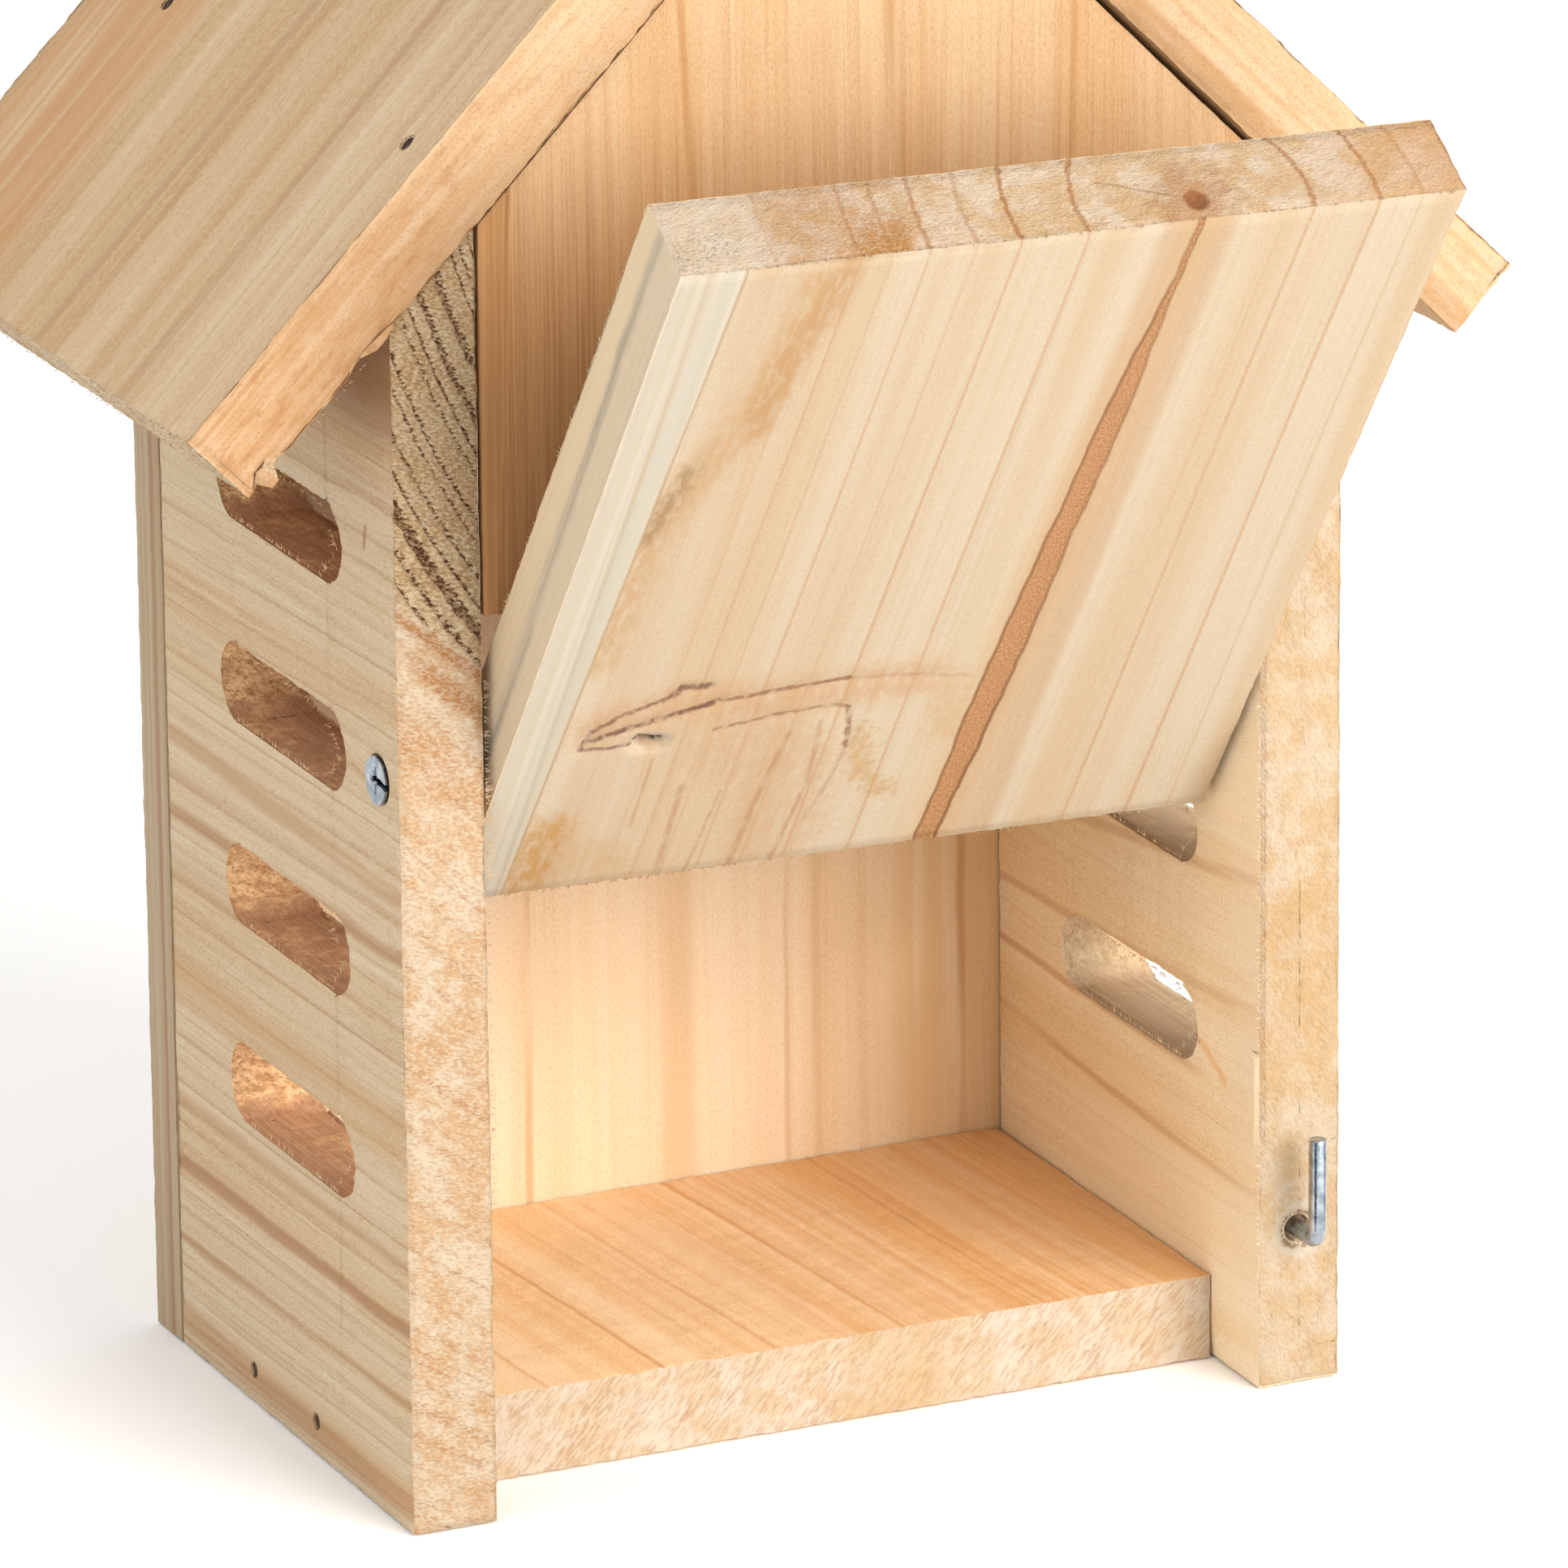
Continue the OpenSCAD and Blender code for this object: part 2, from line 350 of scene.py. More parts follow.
def woodSkin(name, wood, marks=None):
    material, shader, place, normal = newMaterial(name)
    turn = wood.get("turn", Matrix.Identity(3))
    scale = (millimetre,) * 3
    inputs = {"Vector": place, "Location": wood["origin"], "Rotation": turn.to_euler(), "Scale": scale}
    local = place.add("ShaderNodeMapping", {"vector_type": "TEXTURE"}, inputs)
    parts = {}
    for order, axis in enumerate("XYZ"):
        parts[axis] = local.add("ShaderNodeSeparateXYZ", {}, {0: local}, output=order)
    across, through, along = [parts[axis] for axis in wood["axes"]]
    grainAxis = turn.col["XYZ".index(wood["axes"][2])]
    end = abs(normal.dot(grainAxis)).step(0.55, 0.8)
    seed = wood.get("seed", 0.0)

    def tone(key):
        return seen(wood["endShine"] if key.startswith("end") else wood["shine"], wood[key])

    slow = joined(across + seed, through, along * 0.25)
    side = across + (slow.noise(34.0, 1.0) - 0.5) * wood["bend"] + along * wood.get("lean", 0.0)
    pithAcross, pithThrough = wood["pith"]
    squash = wood.get("squash", 1.0)
    radius = (((side - pithAcross) * squash) ** 2 + (through - pithThrough) ** 2) ** 0.5
    count = radius / wood["ringGap"] + seed
    count = count + count.wander(2.2) * 1.6

    def ringsOf(turns, low, high):  # rises slowly through a ring and falls at once at its end
        part = turns - turns.floor()
        return part.step(low, high) * part.step(1.0, high) * (0.25 + 0.75 * turns.floor().luck())

    ring = ringsOf(count, 0.25, 0.93)
    line = ringsOf(count, 0.74, 0.95)
    for ringPlace, strength in wood.get("rings", []):
        line = line.most(near(radius, ringPlace, 0.06, 0.32) * strength)
        rise = radius.step(ringPlace - 2.6, ringPlace) * radius.step(ringPlace + 0.25, ringPlace)
        ring = ring.most(rise * strength)
    lively = joined(side + 70, through, along * 0.05).noise(6.0, 1.0).step(0.32, 0.62)
    broad = joined(side + 40, through * 0.5, along * 0.03).noise(8.0, 2.0)
    strands = joined(side, through, along * 0.011).noise(1.25, 3.0, 0.6)
    hairs = joined(side, through, along * 0.009).noise(0.36, 2.0, 0.6)
    nap = joined(side * 0.5, through * 0.5, along).noise(0.4, 2.0)
    dashes = joined(side, through, along * 0.07).noise(0.26, 0.0)
    grit = joined(side, through, along * 0.28).noise(0.17, 1.0, 0.6)

    colour = broad.step(0.38, 0.66).blend(tone("pale"), tone("warm"))
    colour = (ring * lively * wood["ringShow"]).blend(colour, tone("late"))
    colour = (line * wood["lineShow"]).blend(colour, tone("late"))
    colour = (strands.step(0.5, 0.72) * wood["strandShow"]).blend(colour, tone("late"))
    colour = (strands.step(0.47, 0.27) * wood["strandShow"]).blend(colour, tone("bright"))
    colour = (hairs.step(0.54, 0.74) * wood["hairShow"]).blend(colour, tone("late"))
    colour = (hairs.step(0.44, 0.26) * wood["hairShow"]).blend(colour, tone("bright"))
    colour = (dashes.step(0.66, 0.78) * 0.06).blend(colour, tone("dark"))
    colour = (grit.step(0.5, 0.72) * wood["gritShow"]).blend(colour, tone("dark"))
    colour = (grit.step(0.5, 0.28) * wood["gritShow"] * 1.5).blend(colour, tone("bright"))
    for mark in wood.get("streaks", []):
        colour = thread((side, through, along), mark).blend(colour, seen(wood["shine"], mark["colour"]))

    lean = math.radians(wood.get("sawn", 70))  # the saw's scratches on an end
    level = across * math.cos(lean) + through * math.sin(lean)
    steep = through * math.cos(lean) - across * math.sin(lean)
    speck = joined(level, steep * wood.get("hatch", 0.55), along * 0.6)
    speck = speck.noise(wood.get("speckSize", 0.34), 2.0, 0.6)
    tufts = joined(level + 9, steep * 0.5, along).noise(1.15, 3.0, 0.65)
    coarse = joined(across + 9, through, along).noise(6.0, 2.0, 0.6)
    jagged = count + (tufts - 0.5) * 0.45 + (speck - 0.5) * 0.3
    band = ringsOf(jagged, 0.5, 0.85)
    for ringPlace, strength in wood.get("rings", []):
        band = band.most(near(radius + (tufts - 0.5) * 1.2, ringPlace, 0.12, 0.4) * strength)
    endColour = coarse.step(0.38, 0.62).blend(tone("endPale"), tone("endWarm"))
    endColour = (tufts.step(0.5, 0.7) * 0.4).blend(endColour, tone("endWarm"))
    endColour = (band * wood["endRingShow"]).blend(endColour, tone("endLate"))
    pits = speck.step(0.5, 0.6) * (0.5 + 0.5 * band)
    endColour = (pits * wood["speckShow"]).blend(endColour, tone("endDark"))
    endColour = (speck.step(0.47, 0.36) * wood["speckShow"] * 0.8).blend(endColour, tone("endBright"))
    colour = end.blend(colour, endColour)

    height = (hairs - 0.5) * 0.06 + (nap - 0.5) * 0.05 - line * 0.02
    endHeight = (speck - 0.5) * 0.36 + (tufts - 0.5) * 0.4 - band * 0.08
    height = height * (1 - end) + endHeight * end
    if marks:
        grain = {"end": end, "band": band, "speck": speck, "tufts": tufts, "coarse": coarse, "hairs": hairs,
                 "strands": strands, "normal": normal, "shine": wood["shine"], "endShine": wood["endShine"]}
        colour, height = marks(colour, height, (across, through, along), grain)
    rough = 0.62 + 0.12 * strands + end * 0.15
    bump = height.add("ShaderNodeBump", {}, {"Height": height, "Distance": millimetre, "Strength": 0.8})
    plug(shader, "Base Color", colour)
    plug(shader, "Roughness", rough)
    plug(shader, "Normal", bump)
    shader.inputs["Specular IOR Level"].default_value = 0.25
    return material


woodTints = {
    "bright": (230, 214, 188),
    "pale": (216, 194, 160),
    "warm": (208, 178, 136),
    "late": (176, 134, 92),
    "dark": (142, 98, 60),
    "endPale": (250, 226, 194),
    "endWarm": (240, 200, 154),
    "endLate": (212, 160, 110),
    "endDark": (178, 120, 74),
    "endBright": (255, 242, 218),
    "ringShow": 0.35,
    "lineShow": 0.5,
    "strandShow": 0.3,
    "hairShow": 0.25,
    "gritShow": 0.24,
    "endRingShow": 0.5,
    "speckShow": 0.5,
    "shine": 1.0,
    "endShine": 2.1,
}


def woodOf(**changes):
    return {**woodTints, **changes}


# Boards, copied from their nodes, merged, their edges eased and roughened

def onlyPick(piece):
    bpy.ops.object.select_all(action="DESELECT")
    piece.select_set(True)
    bpy.context.view_layer.objects.active = piece


def pickFaces(piece, test):
    bpy.ops.mesh.select_mode(type="FACE")
    bpy.ops.mesh.select_all(action="DESELECT")
    mesh = bmesh.from_edit_mesh(piece.data)
    for face in mesh.faces:
        if test(face):
            face.select_set(True)
    mesh.select_flush_mode()
    bmesh.update_edit_mesh(piece.data)


def pickEdges(piece, test):
    bpy.ops.mesh.select_mode(type="EDGE")
    bpy.ops.mesh.select_all(action="DESELECT")
    mesh = bmesh.from_edit_mesh(piece.data)
    for edge in mesh.edges:
        if test(edge):
            edge.select_set(True)
    mesh.select_flush_mode()
    bmesh.update_edit_mesh(piece.data)


def copyNode(name, node, cuts=()):
    onlyPick(nodes[node])
    bpy.ops.object.duplicate()
    piece = bpy.context.object
    bpy.ops.object.parent_clear(type="CLEAR_KEEP_TRANSFORM")
    for mark in list(piece.keys()):
        if mark.startswith("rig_"):
            del piece[mark]
    piece.name = name
    piece.data.name = name
    piece.data.materials.clear()
    bpy.ops.object.mode_set(mode="EDIT")
    bpy.ops.mesh.select_all(action="SELECT")
    bpy.ops.mesh.remove_doubles(threshold=0.000002)
    for spot, way in cuts:
        bpy.ops.mesh.select_all(action="SELECT")
        bpy.ops.mesh.bisect(plane_co=spot, plane_no=way)
        bpy.ops.mesh.mark_seam()
    bpy.ops.mesh.select_all(action="SELECT")
    bpy.ops.mesh.dissolve_limited(angle_limit=math.radians(0.4), delimit={"SEAM"})
    bpy.ops.mesh.select_all(action="SELECT")
    bpy.ops.mesh.mark_seam(clear=True)
    bpy.ops.object.mode_set(mode="OBJECT")
    return piece


def cutsAt(axis, *places):  # cuts through the middles of holes, so that no face keeps a hole or a neck
    way = Vector([1.0 if letter == axis else 0.0 for letter in "XYZ"])
    return [(way * place * millimetre, way) for place in places]


def slopes(side, *places):  # cuts across a roof board, so far down the slope from the ridge
    down = Vector((side, 0, -1)).normalized()
    return [(Vector(ridge) * millimetre + down * place * millimetre, down) for place in places]


def cutLong(piece, belongs, step):  # splits the edges longer than a step, those of one length together
    for turn in range(12):
        lengths = []

        def gather(edge):
            if belongs(edge) and edge.calc_length() > 1.6 * step:
                lengths.append(edge.calc_length())
            return False

        pickEdges(piece, gather)
        if not lengths:
            return
        longest = max(lengths)
        pickEdges(piece, lambda edge: belongs(edge) and abs(edge.calc_length() - longest) < 0.3 * step)
        bpy.ops.mesh.subdivide(number_cuts=max(1, round(longest / step) - 1))


def clouds(name, size, depth=2):
    texture = bpy.data.textures.new(name, "CLOUDS")
    texture.noise_scale = size * millimetre
    texture.noise_depth = depth
    return texture


roughTextures = {
    "chip": clouds("chipNoise", 0.7),
    "wave": clouds("waveNoise", 6.0),
    "tear": clouds("tearNoise", 1.6, 3),
    "saw": clouds("sawNoise", 1.1, 2),
}


def roughen(piece, group, texture, amount):
    onlyPick(piece)
    shift = piece.modifiers.new("roughen", "DISPLACE")
    shift.texture = roughTextures[texture]
    shift.texture_coords = "LOCAL"
    shift.vertex_group = group
    shift.strength = amount * millimetre
    shift.mid_level = 1.0
    shift.direction = "NORMAL"
    bpy.ops.object.modifier_apply(modifier=shift.name)


def tagPicked(piece, tag):  # the material number marks a kind of face until the shape is finished
    mesh = bmesh.from_edit_mesh(piece.data)
    for face in mesh.faces:
        if face.select:
            face.material_index = tag
    bmesh.update_edit_mesh(piece.data)


def tagged(tag):
    return lambda item: any(face.material_index == tag for face in getattr(item, "link_faces", [item]))


def storeGroup(piece, name, tag):
    pickFaces(piece, tagged(tag))
    group = piece.vertex_groups.new(name=name)
    piece.vertex_groups.active_index = group.index
    bpy.ops.object.vertex_group_assign()


def reach(spot, points):  # how far a spot is from a line through points
    best = 1000.0
    for start, end in zip(points, points[1:]):
        span = Vector(end) - Vector(start)
        offset = Vector(spot) - Vector(start)
        share = min(1.0, max(0.0, offset.dot(span) / span.length_squared))
        best = min(best, (offset - span * share).length)
    return best


def dent(piece, group, depth):  # pushes a face in where a group says so
    onlyPick(piece)
    shift = piece.modifiers.new("dent", "DISPLACE")
    shift.vertex_group = group
    shift.mid_level = 0.0
    shift.strength = -depth * millimetre
    bpy.ops.object.modifier_apply(modifier=shift.name)


def makeFibre():  # one torn fibre, a tapered sliver that stands on the origin
    bpy.ops.object.select_all(action="DESELECT")
    bpy.ops.mesh.primitive_cone_add(vertices=4, radius1=0.00009, radius2=0.00002, depth=0.001,
                                    location=(0, 0, 0.0005))
    fibre = bpy.context.object
    fibre.name = "fibrePattern"
    bpy.ops.object.transform_apply(location=True, rotation=True, scale=True)
    bpy.ops.object.mode_set(mode="EDIT")
    bpy.ops.mesh.select_all(action="SELECT")
    bpy.ops.mesh.subdivide(number_cuts=1)
    bpy.ops.object.mode_set(mode="OBJECT")
    for vertex in fibre.data.vertices:
        vertex.co.x += 250.0 * vertex.co.z ** 2
    return fibre


def addFuzz(piece, fibre, edges):  # torn fibres along edges, each a bent copy of its own
    luck = random.Random(len(piece.name) + len(edges))
    made = []
    for edge in edges:
        start, end, way = Vector(edge["from"]), Vector(edge["to"]), Vector(edge["way"]).normalized()
        for number in range(edge["count"]):
            spot = start.lerp(end, luck.random())
            lean = Vector((luck.uniform(-1, 1), luck.uniform(-1, 1), luck.uniform(-1, 1))) * 0.6
            turn = (way + lean).to_track_quat("Z", "X").to_matrix().to_4x4()
            tall = luck.uniform(*edge["long"])
            thick = luck.uniform(0.6, 1.3)
            hair = fibre.copy()
            hair.data = fibre.data.copy()
            bpy.context.collection.objects.link(hair)
            form = Matrix.Diagonal((thick, thick, tall, 1))
            hair.matrix_world = Matrix.Translation(spot * millimetre) @ turn @ form
            made.append(hair)
    onlyPick(piece)
    for hair in made:
        hair.select_set(True)
    bpy.context.view_layer.objects.active = piece
    bpy.ops.object.join()


fibrePattern = makeFibre()


leastEdge = 0.9 * millimetre  # shorter edges are left sharp
rimStep = 1.0 * millimetre  # how finely the eased edges are cut before they are roughened


def makeBoard(name, board):
    piece = copyNode(name, board["node"], board.get("cuts", ()))
    onlyPick(piece)
    bpy.ops.object.mode_set(mode="EDIT")

    def sharp(edge):
        if len(edge.link_faces) != 2 or edge.calc_length() < leastEdge:
            return False
        return edge.calc_face_angle() > math.radians(32)

    pickEdges(piece, sharp)
    bpy.ops.mesh.bevel(offset=board["rim"] * millimetre, segments=2, affect="EDGES", clamp_overlap=False)
    tagPicked(piece, 1)
    cutLong(piece, tagged(1), rimStep)
    for tag, area in enumerate(board.get("areas", []), 2):
        pickFaces(piece, area["test"])
        tagPicked(piece, tag)
        cutLong(piece, tagged(tag), area["step"] * millimetre)
        storeGroup(piece, area["name"], tag)
    storeGroup(piece, "rim", 1)
    bpy.ops.mesh.select_all(action="SELECT")
    tagPicked(piece, 0)
    bpy.ops.object.mode_set(mode="OBJECT")
    roughen(piece, "rim", "chip", board["ragged"])
    roughen(piece, "rim", "wave", board["ragged"] * 0.8)
    for area in board.get("areas", []):
        for texture, amount in area["rough"]:
            roughen(piece, area["name"], texture, amount)
    for order, hollow in enumerate(board.get("hollows", [])):
        group = piece.vertex_groups.new(name="hollow" + str(order))
        for vertex in piece.data.vertices:
            spot = hollow["frame"](vertex.co)
            if spot is None:
                continue
            weight = 1.0 - (reach(spot, hollow["points"]) - hollow["half"]) / hollow["soft"]
            if weight > 0:
                group.add([vertex.index], min(1.0, weight) ** 1.5, "REPLACE")
        dent(piece, group.name, hollow["depth"])
    if "fuzz" in board:
        addFuzz(piece, fibrePattern, board["fuzz"])
    onlyPick(piece)
    bpy.ops.object.shade_smooth_by_angle(angle=math.radians(35))
    even = piece.modifiers.new("evenShade", "WEIGHTED_NORMAL")
    even.keep_sharp = True
    bpy.ops.object.modifier_apply(modifier=even.name)
    piece.data.materials.append(board["skin"])
    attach(piece, board["body"])
    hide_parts(board["node"])
    print(name, "made,", len(piece.data.polygons), "faces")


def turnedTo(way, test=None):  # the faces turned to one side, and no bevel
    way = Vector(way).normalized()

    def pick(face):
        if face.normal.dot(way) < 0.995 or face.material_index:
            return False
        return test is None or test(face.calc_center_median() / millimetre)
    return pick


frontEnd = {"name": "frontEnd", "test": turnedTo((0, -1, 0), lambda middle: middle.y < -43), "step": 0.55,
            "rough": [("saw", 0.3), ("chip", 0.12)]}


def slotWalls(low, high, tear):
    def test(face):  # a wall of a slot, not the board's own outer edges
        middle = face.calc_center_median() / millimetre
        if abs(face.normal.x) > 0.3 or not low < middle.x < high:
            return False
        return 6 < middle.y + frontReach < 76 and 30 < middle.z < 140

    return {"name": "slotWalls", "test": test, "step": 0.7, "rough": [("tear", tear), ("chip", tear * 0.5)]}


def slotFuzz(x, way):  # fibres round the mouths of the slots
    edges = []
    for middle in slotHeights:
        for side in (-1, 1):
            height = middle + slotHalf * side
            start = (x, slotFront, height)
            edges.append(fringe(start, (x, slotRear, height), (way, 0, -side), 34, (0.3, 0.8)))
        edges.append(fringe((x, 9.0, middle + 4.6), (x, 14.4, middle), (way, -1, -0.5), 12, (0.4, 1.2)))
        edges.append(fringe((x, -20.0, middle + 4.8), (x, -25.2, middle), (way, 1, -0.5), 12, (0.4, 1.2)))
        edges.append(fringe((x, -25.2, middle), (x, -20.0, middle - 4.8), (way, 1, 0.5), 12, (0.4, 1.2)))
    return edges


def slotTone(colour, spot, grain, light, tints):  # the slots' walls are sawn across, torn and brown
    across, through, along = spot
    sides = grain["normal"].add("ShaderNodeSeparateXYZ", {}, {0: grain["normal"]})
    inside = abs(sides).step(0.75, 0.45) * along.step(4.0, 8.0) * along.step(74.0, 70.0)
    inside = inside * across.step(24.0, 30.0)
    wall = grain["hairs"].step(0.35, 0.65).blend(seen(light, tints["wall"]), seen(light, tints["wallDark"]))
    torn = grain["tufts"].step(0.35, 0.65).blend(seen(light, tints["torn"]), seen(light, tints["tornDark"]))
    torn = (grain["speck"].step(0.54, 0.64) * 0.5).blend(torn, seen(light, tints["pit"]))
    rough = (grain["coarse"].step(0.5, 0.62) * 0.6).most(grain["end"])
    wall = rough.blend(wall, torn)
    return (inside * 0.9).blend(colour, wall)


def leftMarks(colour, height, spot, grain):
    across, through, along = spot
    end = grain["end"] * along.step(5.0, 3.0)
    tilt = across + through * 0.85 + (grain["tufts"] - 0.5) * 3
    shine = grain["endShine"]
    speck, band = grain["speck"], grain["band"]
    grey = grain["coarse"].step(0.35, 0.65).blend(seen(shine, (238, 206, 160)), seen(shine, (222, 182, 132)))
    grey = (band.step(0.08, 0.55) * 0.75).blend(grey, seen(shine, (134, 88, 46)))
    grey = (speck.step(0.5, 0.58) * (0.3 + 0.7 * band.step(0.05, 0.4))).blend(grey, seen(shine, (88, 54, 28)))
    grey = (speck.step(0.47, 0.38) * (0.75 - 0.5 * band)).blend(grey, seen(shine, (252, 232, 196)))
    colour = (end * tilt.step(122.2, 124.0)).blend(colour, grey)
    line = near(tilt, 121.6, 0.5, 1.0) * 0.85
    patch = near(tilt, 116.8, 1.0, 1.6) * through.step(0.5, 5.0) * 0.75
    soft = near(tilt, 107.0, 2.0, 5.0) * 0.35
    burnt = line.most(patch).most(soft) * end * (0.45 + 0.55 * speck.step(0.42, 0.58))
    colour = burnt.blend(colour, seen(shine, (202, 136, 74)))
    shade = across.step(138.0, 149.0) * (1 - grain["end"]) * 0.85
    colour = shade.blend(colour, seen(0.9, (132, 90, 52)))
    nick = {"points": [(130.4, 8.8), (127.8, 9.6)], "half": 0.15, "soft": 0.6, "fuzz": 0.5}
    nick = stroke(across, along, nick)
    colour = (nick * (1 - grain["end"]) * 0.6).blend(colour, seen(1.1, (150, 104, 60)))
    tints = {"wall": (166, 128, 98), "wallDark": (144, 106, 78), "torn": (204, 170, 128),
             "tornDark": (164, 124, 84), "pit": (108, 74, 46)}
    return slotTone(colour, spot, grain, 0.62, tints), height


leftBoard = {
    "node": "left_side",
    "body": "house",
    "slot": "side_boards",
    "rim": 0.35,
    "ragged": 0.35,
    "areas": [frontEnd, slotWalls(-65.4, -53.6, 0.7)],
    "fuzz": slotFuzz(-65.3, -0.2) + [
        fringe((-53.6, -43.3, 84), (-53.6, -43.3, 112), (1, -0.1, -0.4), 70, (0.5, 1.5)),
        fringe((-53.6, -43.3, 30), (-53.6, -43.3, 84), (1, -0.1, -0.3), 60, (0.3, 0.7)),
        fringe((-65.3, -43.3, 4), (-65.3, -43.3, 150), (-1, -0.1, 0.2), 110, (0.3, 0.6)),
    ],
    "cuts": cutsAt("Z", 5, *slotHeights) + cutsAt("Y", pivotDepth, slotFront, -12.1, slotRear),
    "skin": woodSkin("leftBoardWood", woodOf(
        origin=(-0.0655, -0.0435, 0), axes="ZXY", pith=(200, 71), squash=0.75, ringGap=2.0, bend=2.5,
        lean=0.02,
        shine=1.22, endShine=2.1, ringShow=0.3, lineShow=0.6, strandShow=0.34, hairShow=0.34, sawn=15,
        hatch=0.5,
        endRingShow=0.35, speckShow=0.6, endDark=(206, 150, 98),
        streaks=[
            streak(53.5, 1.6, 3.0, 0.5, (194, 152, 104)),
            streak(27.3, 0.5, 1.2, 0.75, (168, 120, 78)),
            streak(3.5, 1.0, 2.0, 0.6, (180, 130, 82), lean=0.03),
            streak(84.0, 0.6, 1.4, 0.6, (184, 140, 94), lean=0.03),
            streak(76.0, 0.4, 1.2, 0.65, (172, 126, 82)),
            streak(17.0, 0.3, 1.0, 0.6, (178, 134, 88), seed=3),
            streak(36.0, 0.3, 1.4, 0.5, (178, 134, 88), seed=5),
        ],
    ), leftMarks),
}


gougeWay = [(17.0, 42.6), (13.6, 41.0), (10.4, 39.4)]  # along and across the right board's inner face


def rightInside(spot):
    return (spot.y / millimetre + frontReach, spot.z / millimetre) if spot.x < 0.0545 else None


def rightMarks(colour, height, spot, grain):
    across, through, along = spot
    front = grain["end"] * along.step(5.0, 3.0)
    stain = stroke(across, through, {"points": [(46, 4), (64, 6)], "half": 1.5, "soft": 5.0, "fuzz": 4.0})
    colour = (stain * front * 0.35).blend(colour, seen(grain["endShine"], (236, 186, 116)))
    gouge = stroke(along, across, {"points": gougeWay, "half": 0.2, "soft": 0.9, "fuzz": 0.4})
    gouge = gouge * through.step(1.5, 0.5) * (1 - grain["end"])
    colour = (gouge * 0.6).blend(colour, seen(grain["shine"], (232, 178, 112)))
    bore = ((across - 21.3) ** 2 + (through - 6.0) ** 2) ** 0.5 + (grain["tufts"] - 0.5) * 2.2
    colour = (near(bore, 3.0, 0.5, 0.7) * front * 0.7).blend(colour, seen(grain["endShine"], (254, 238, 214)))
    colour = (near(bore, 2.0, 0.2, 0.5) * front * 0.7).blend(colour, seen(grain["endShine"], (176, 126, 80)))
    outside = through.step(11.4, 11.8) * (1 - grain["end"])
    colour = outside.blend(colour, (0.66, 0.62, 0.60, 1.0), "MULTIPLY")
    pale = along.step(13.0, 2.0) * (1 - grain["end"]) * 0.4
    colour = pale.blend(colour, seen(grain["shine"], (226, 206, 178)))
    tints = {"wall": (206, 182, 150), "wallDark": (186, 158, 126), "torn": (222, 200, 166),
             "tornDark": (200, 172, 134), "pit": (170, 134, 96)}
    return slotTone(colour, spot, grain, 1.0, tints), height


rightBoard = {
    "node": "right_side",
    "body": "house",
    "slot": "side_boards",
    "rim": 0.35,
    "ragged": 0.35,
    "areas": [
        frontEnd,
        slotWalls(53.6, 65.4, 0.12),
        {"name": "tornPatch", "step": 0.7, "rough": [("chip", 0.1)],
         "test": turnedTo((-1, 0, 0), lambda middle: -43 < middle.y < -26 and 33 < middle.z < 46)},
    ],
    "fuzz": slotFuzz(53.7, -0.2) + [
        fringe((53.7, -43.3, 14), (53.7, -43.3, 95), (-1, -0.1, 0.1), 90, (0.3, 0.7)),
        fringe((54.5, -43.2, 0.3), (65, -43.2, 0.3), (0, -0.2, -0.3), 16, (0.2, 0.3)),
    ],
    "hollows": [
        {"frame": rightInside, "points": gougeWay, "half": 0.2, "soft": 1.2, "depth": 0.3},
    ],
    "cuts": cutsAt("Z", 5, 21.3, 33, slotHeights[0], 46, *slotHeights[1:])
    + cutsAt("Y", pivotDepth, -26, slotFront, -12.1, slotRear) + cutsAt("X", 59.5),
    "skin": woodSkin("rightBoardWood", woodOf(
        origin=(0.0535, -0.0435, 0), axes="ZXY", pith=(60, -160), ringGap=8.0, bend=3.0, seed=7.0,
        shine=0.95, endShine=2.1, ringShow=0.1, lineShow=0.14, strandShow=0.2, hairShow=0.16, sawn=60,
        speckSize=0.28, hatch=0.4,
        endRingShow=0.15, speckShow=0.34,
        pale=(240, 222, 188), warm=(232, 206, 162), late=(204, 160, 110), bright=(248, 234, 208),
        dark=(160, 112, 68),
        endPale=(252, 228, 196), endWarm=(244, 208, 160), endDark=(206, 152, 98),
        streaks=[
            streak(39.0, 0.2, 0.8, 0.6, (194, 144, 94), start=18),
            streak(26.0, 0.2, 0.8, 0.5, (194, 144, 94), lean=0.05),
            streak(52.0, 0.2, 0.9, 0.5, (194, 144, 94), lean=-0.05),
            streak(68.7, 0.3, 1.0, 0.5, (194, 144, 94), lean=-0.1),
        ],
    ), rightMarks),
}


def backMarks(colour, height, spot, grain):
    across, through, along = spot
    outer = abs(across).step(64.8, 65.2) * (1 - grain["end"])
    edge = grain["strands"].step(0.3, 0.7).blend(seen(1.6, (214, 192, 160)), seen(1.6, (200, 170, 132)))
    edge = (near(through, 3.0, 0.2, 0.8) * 0.7).blend(edge, seen(1.6, (180, 134, 88)))
    return outer.blend(colour, edge), height


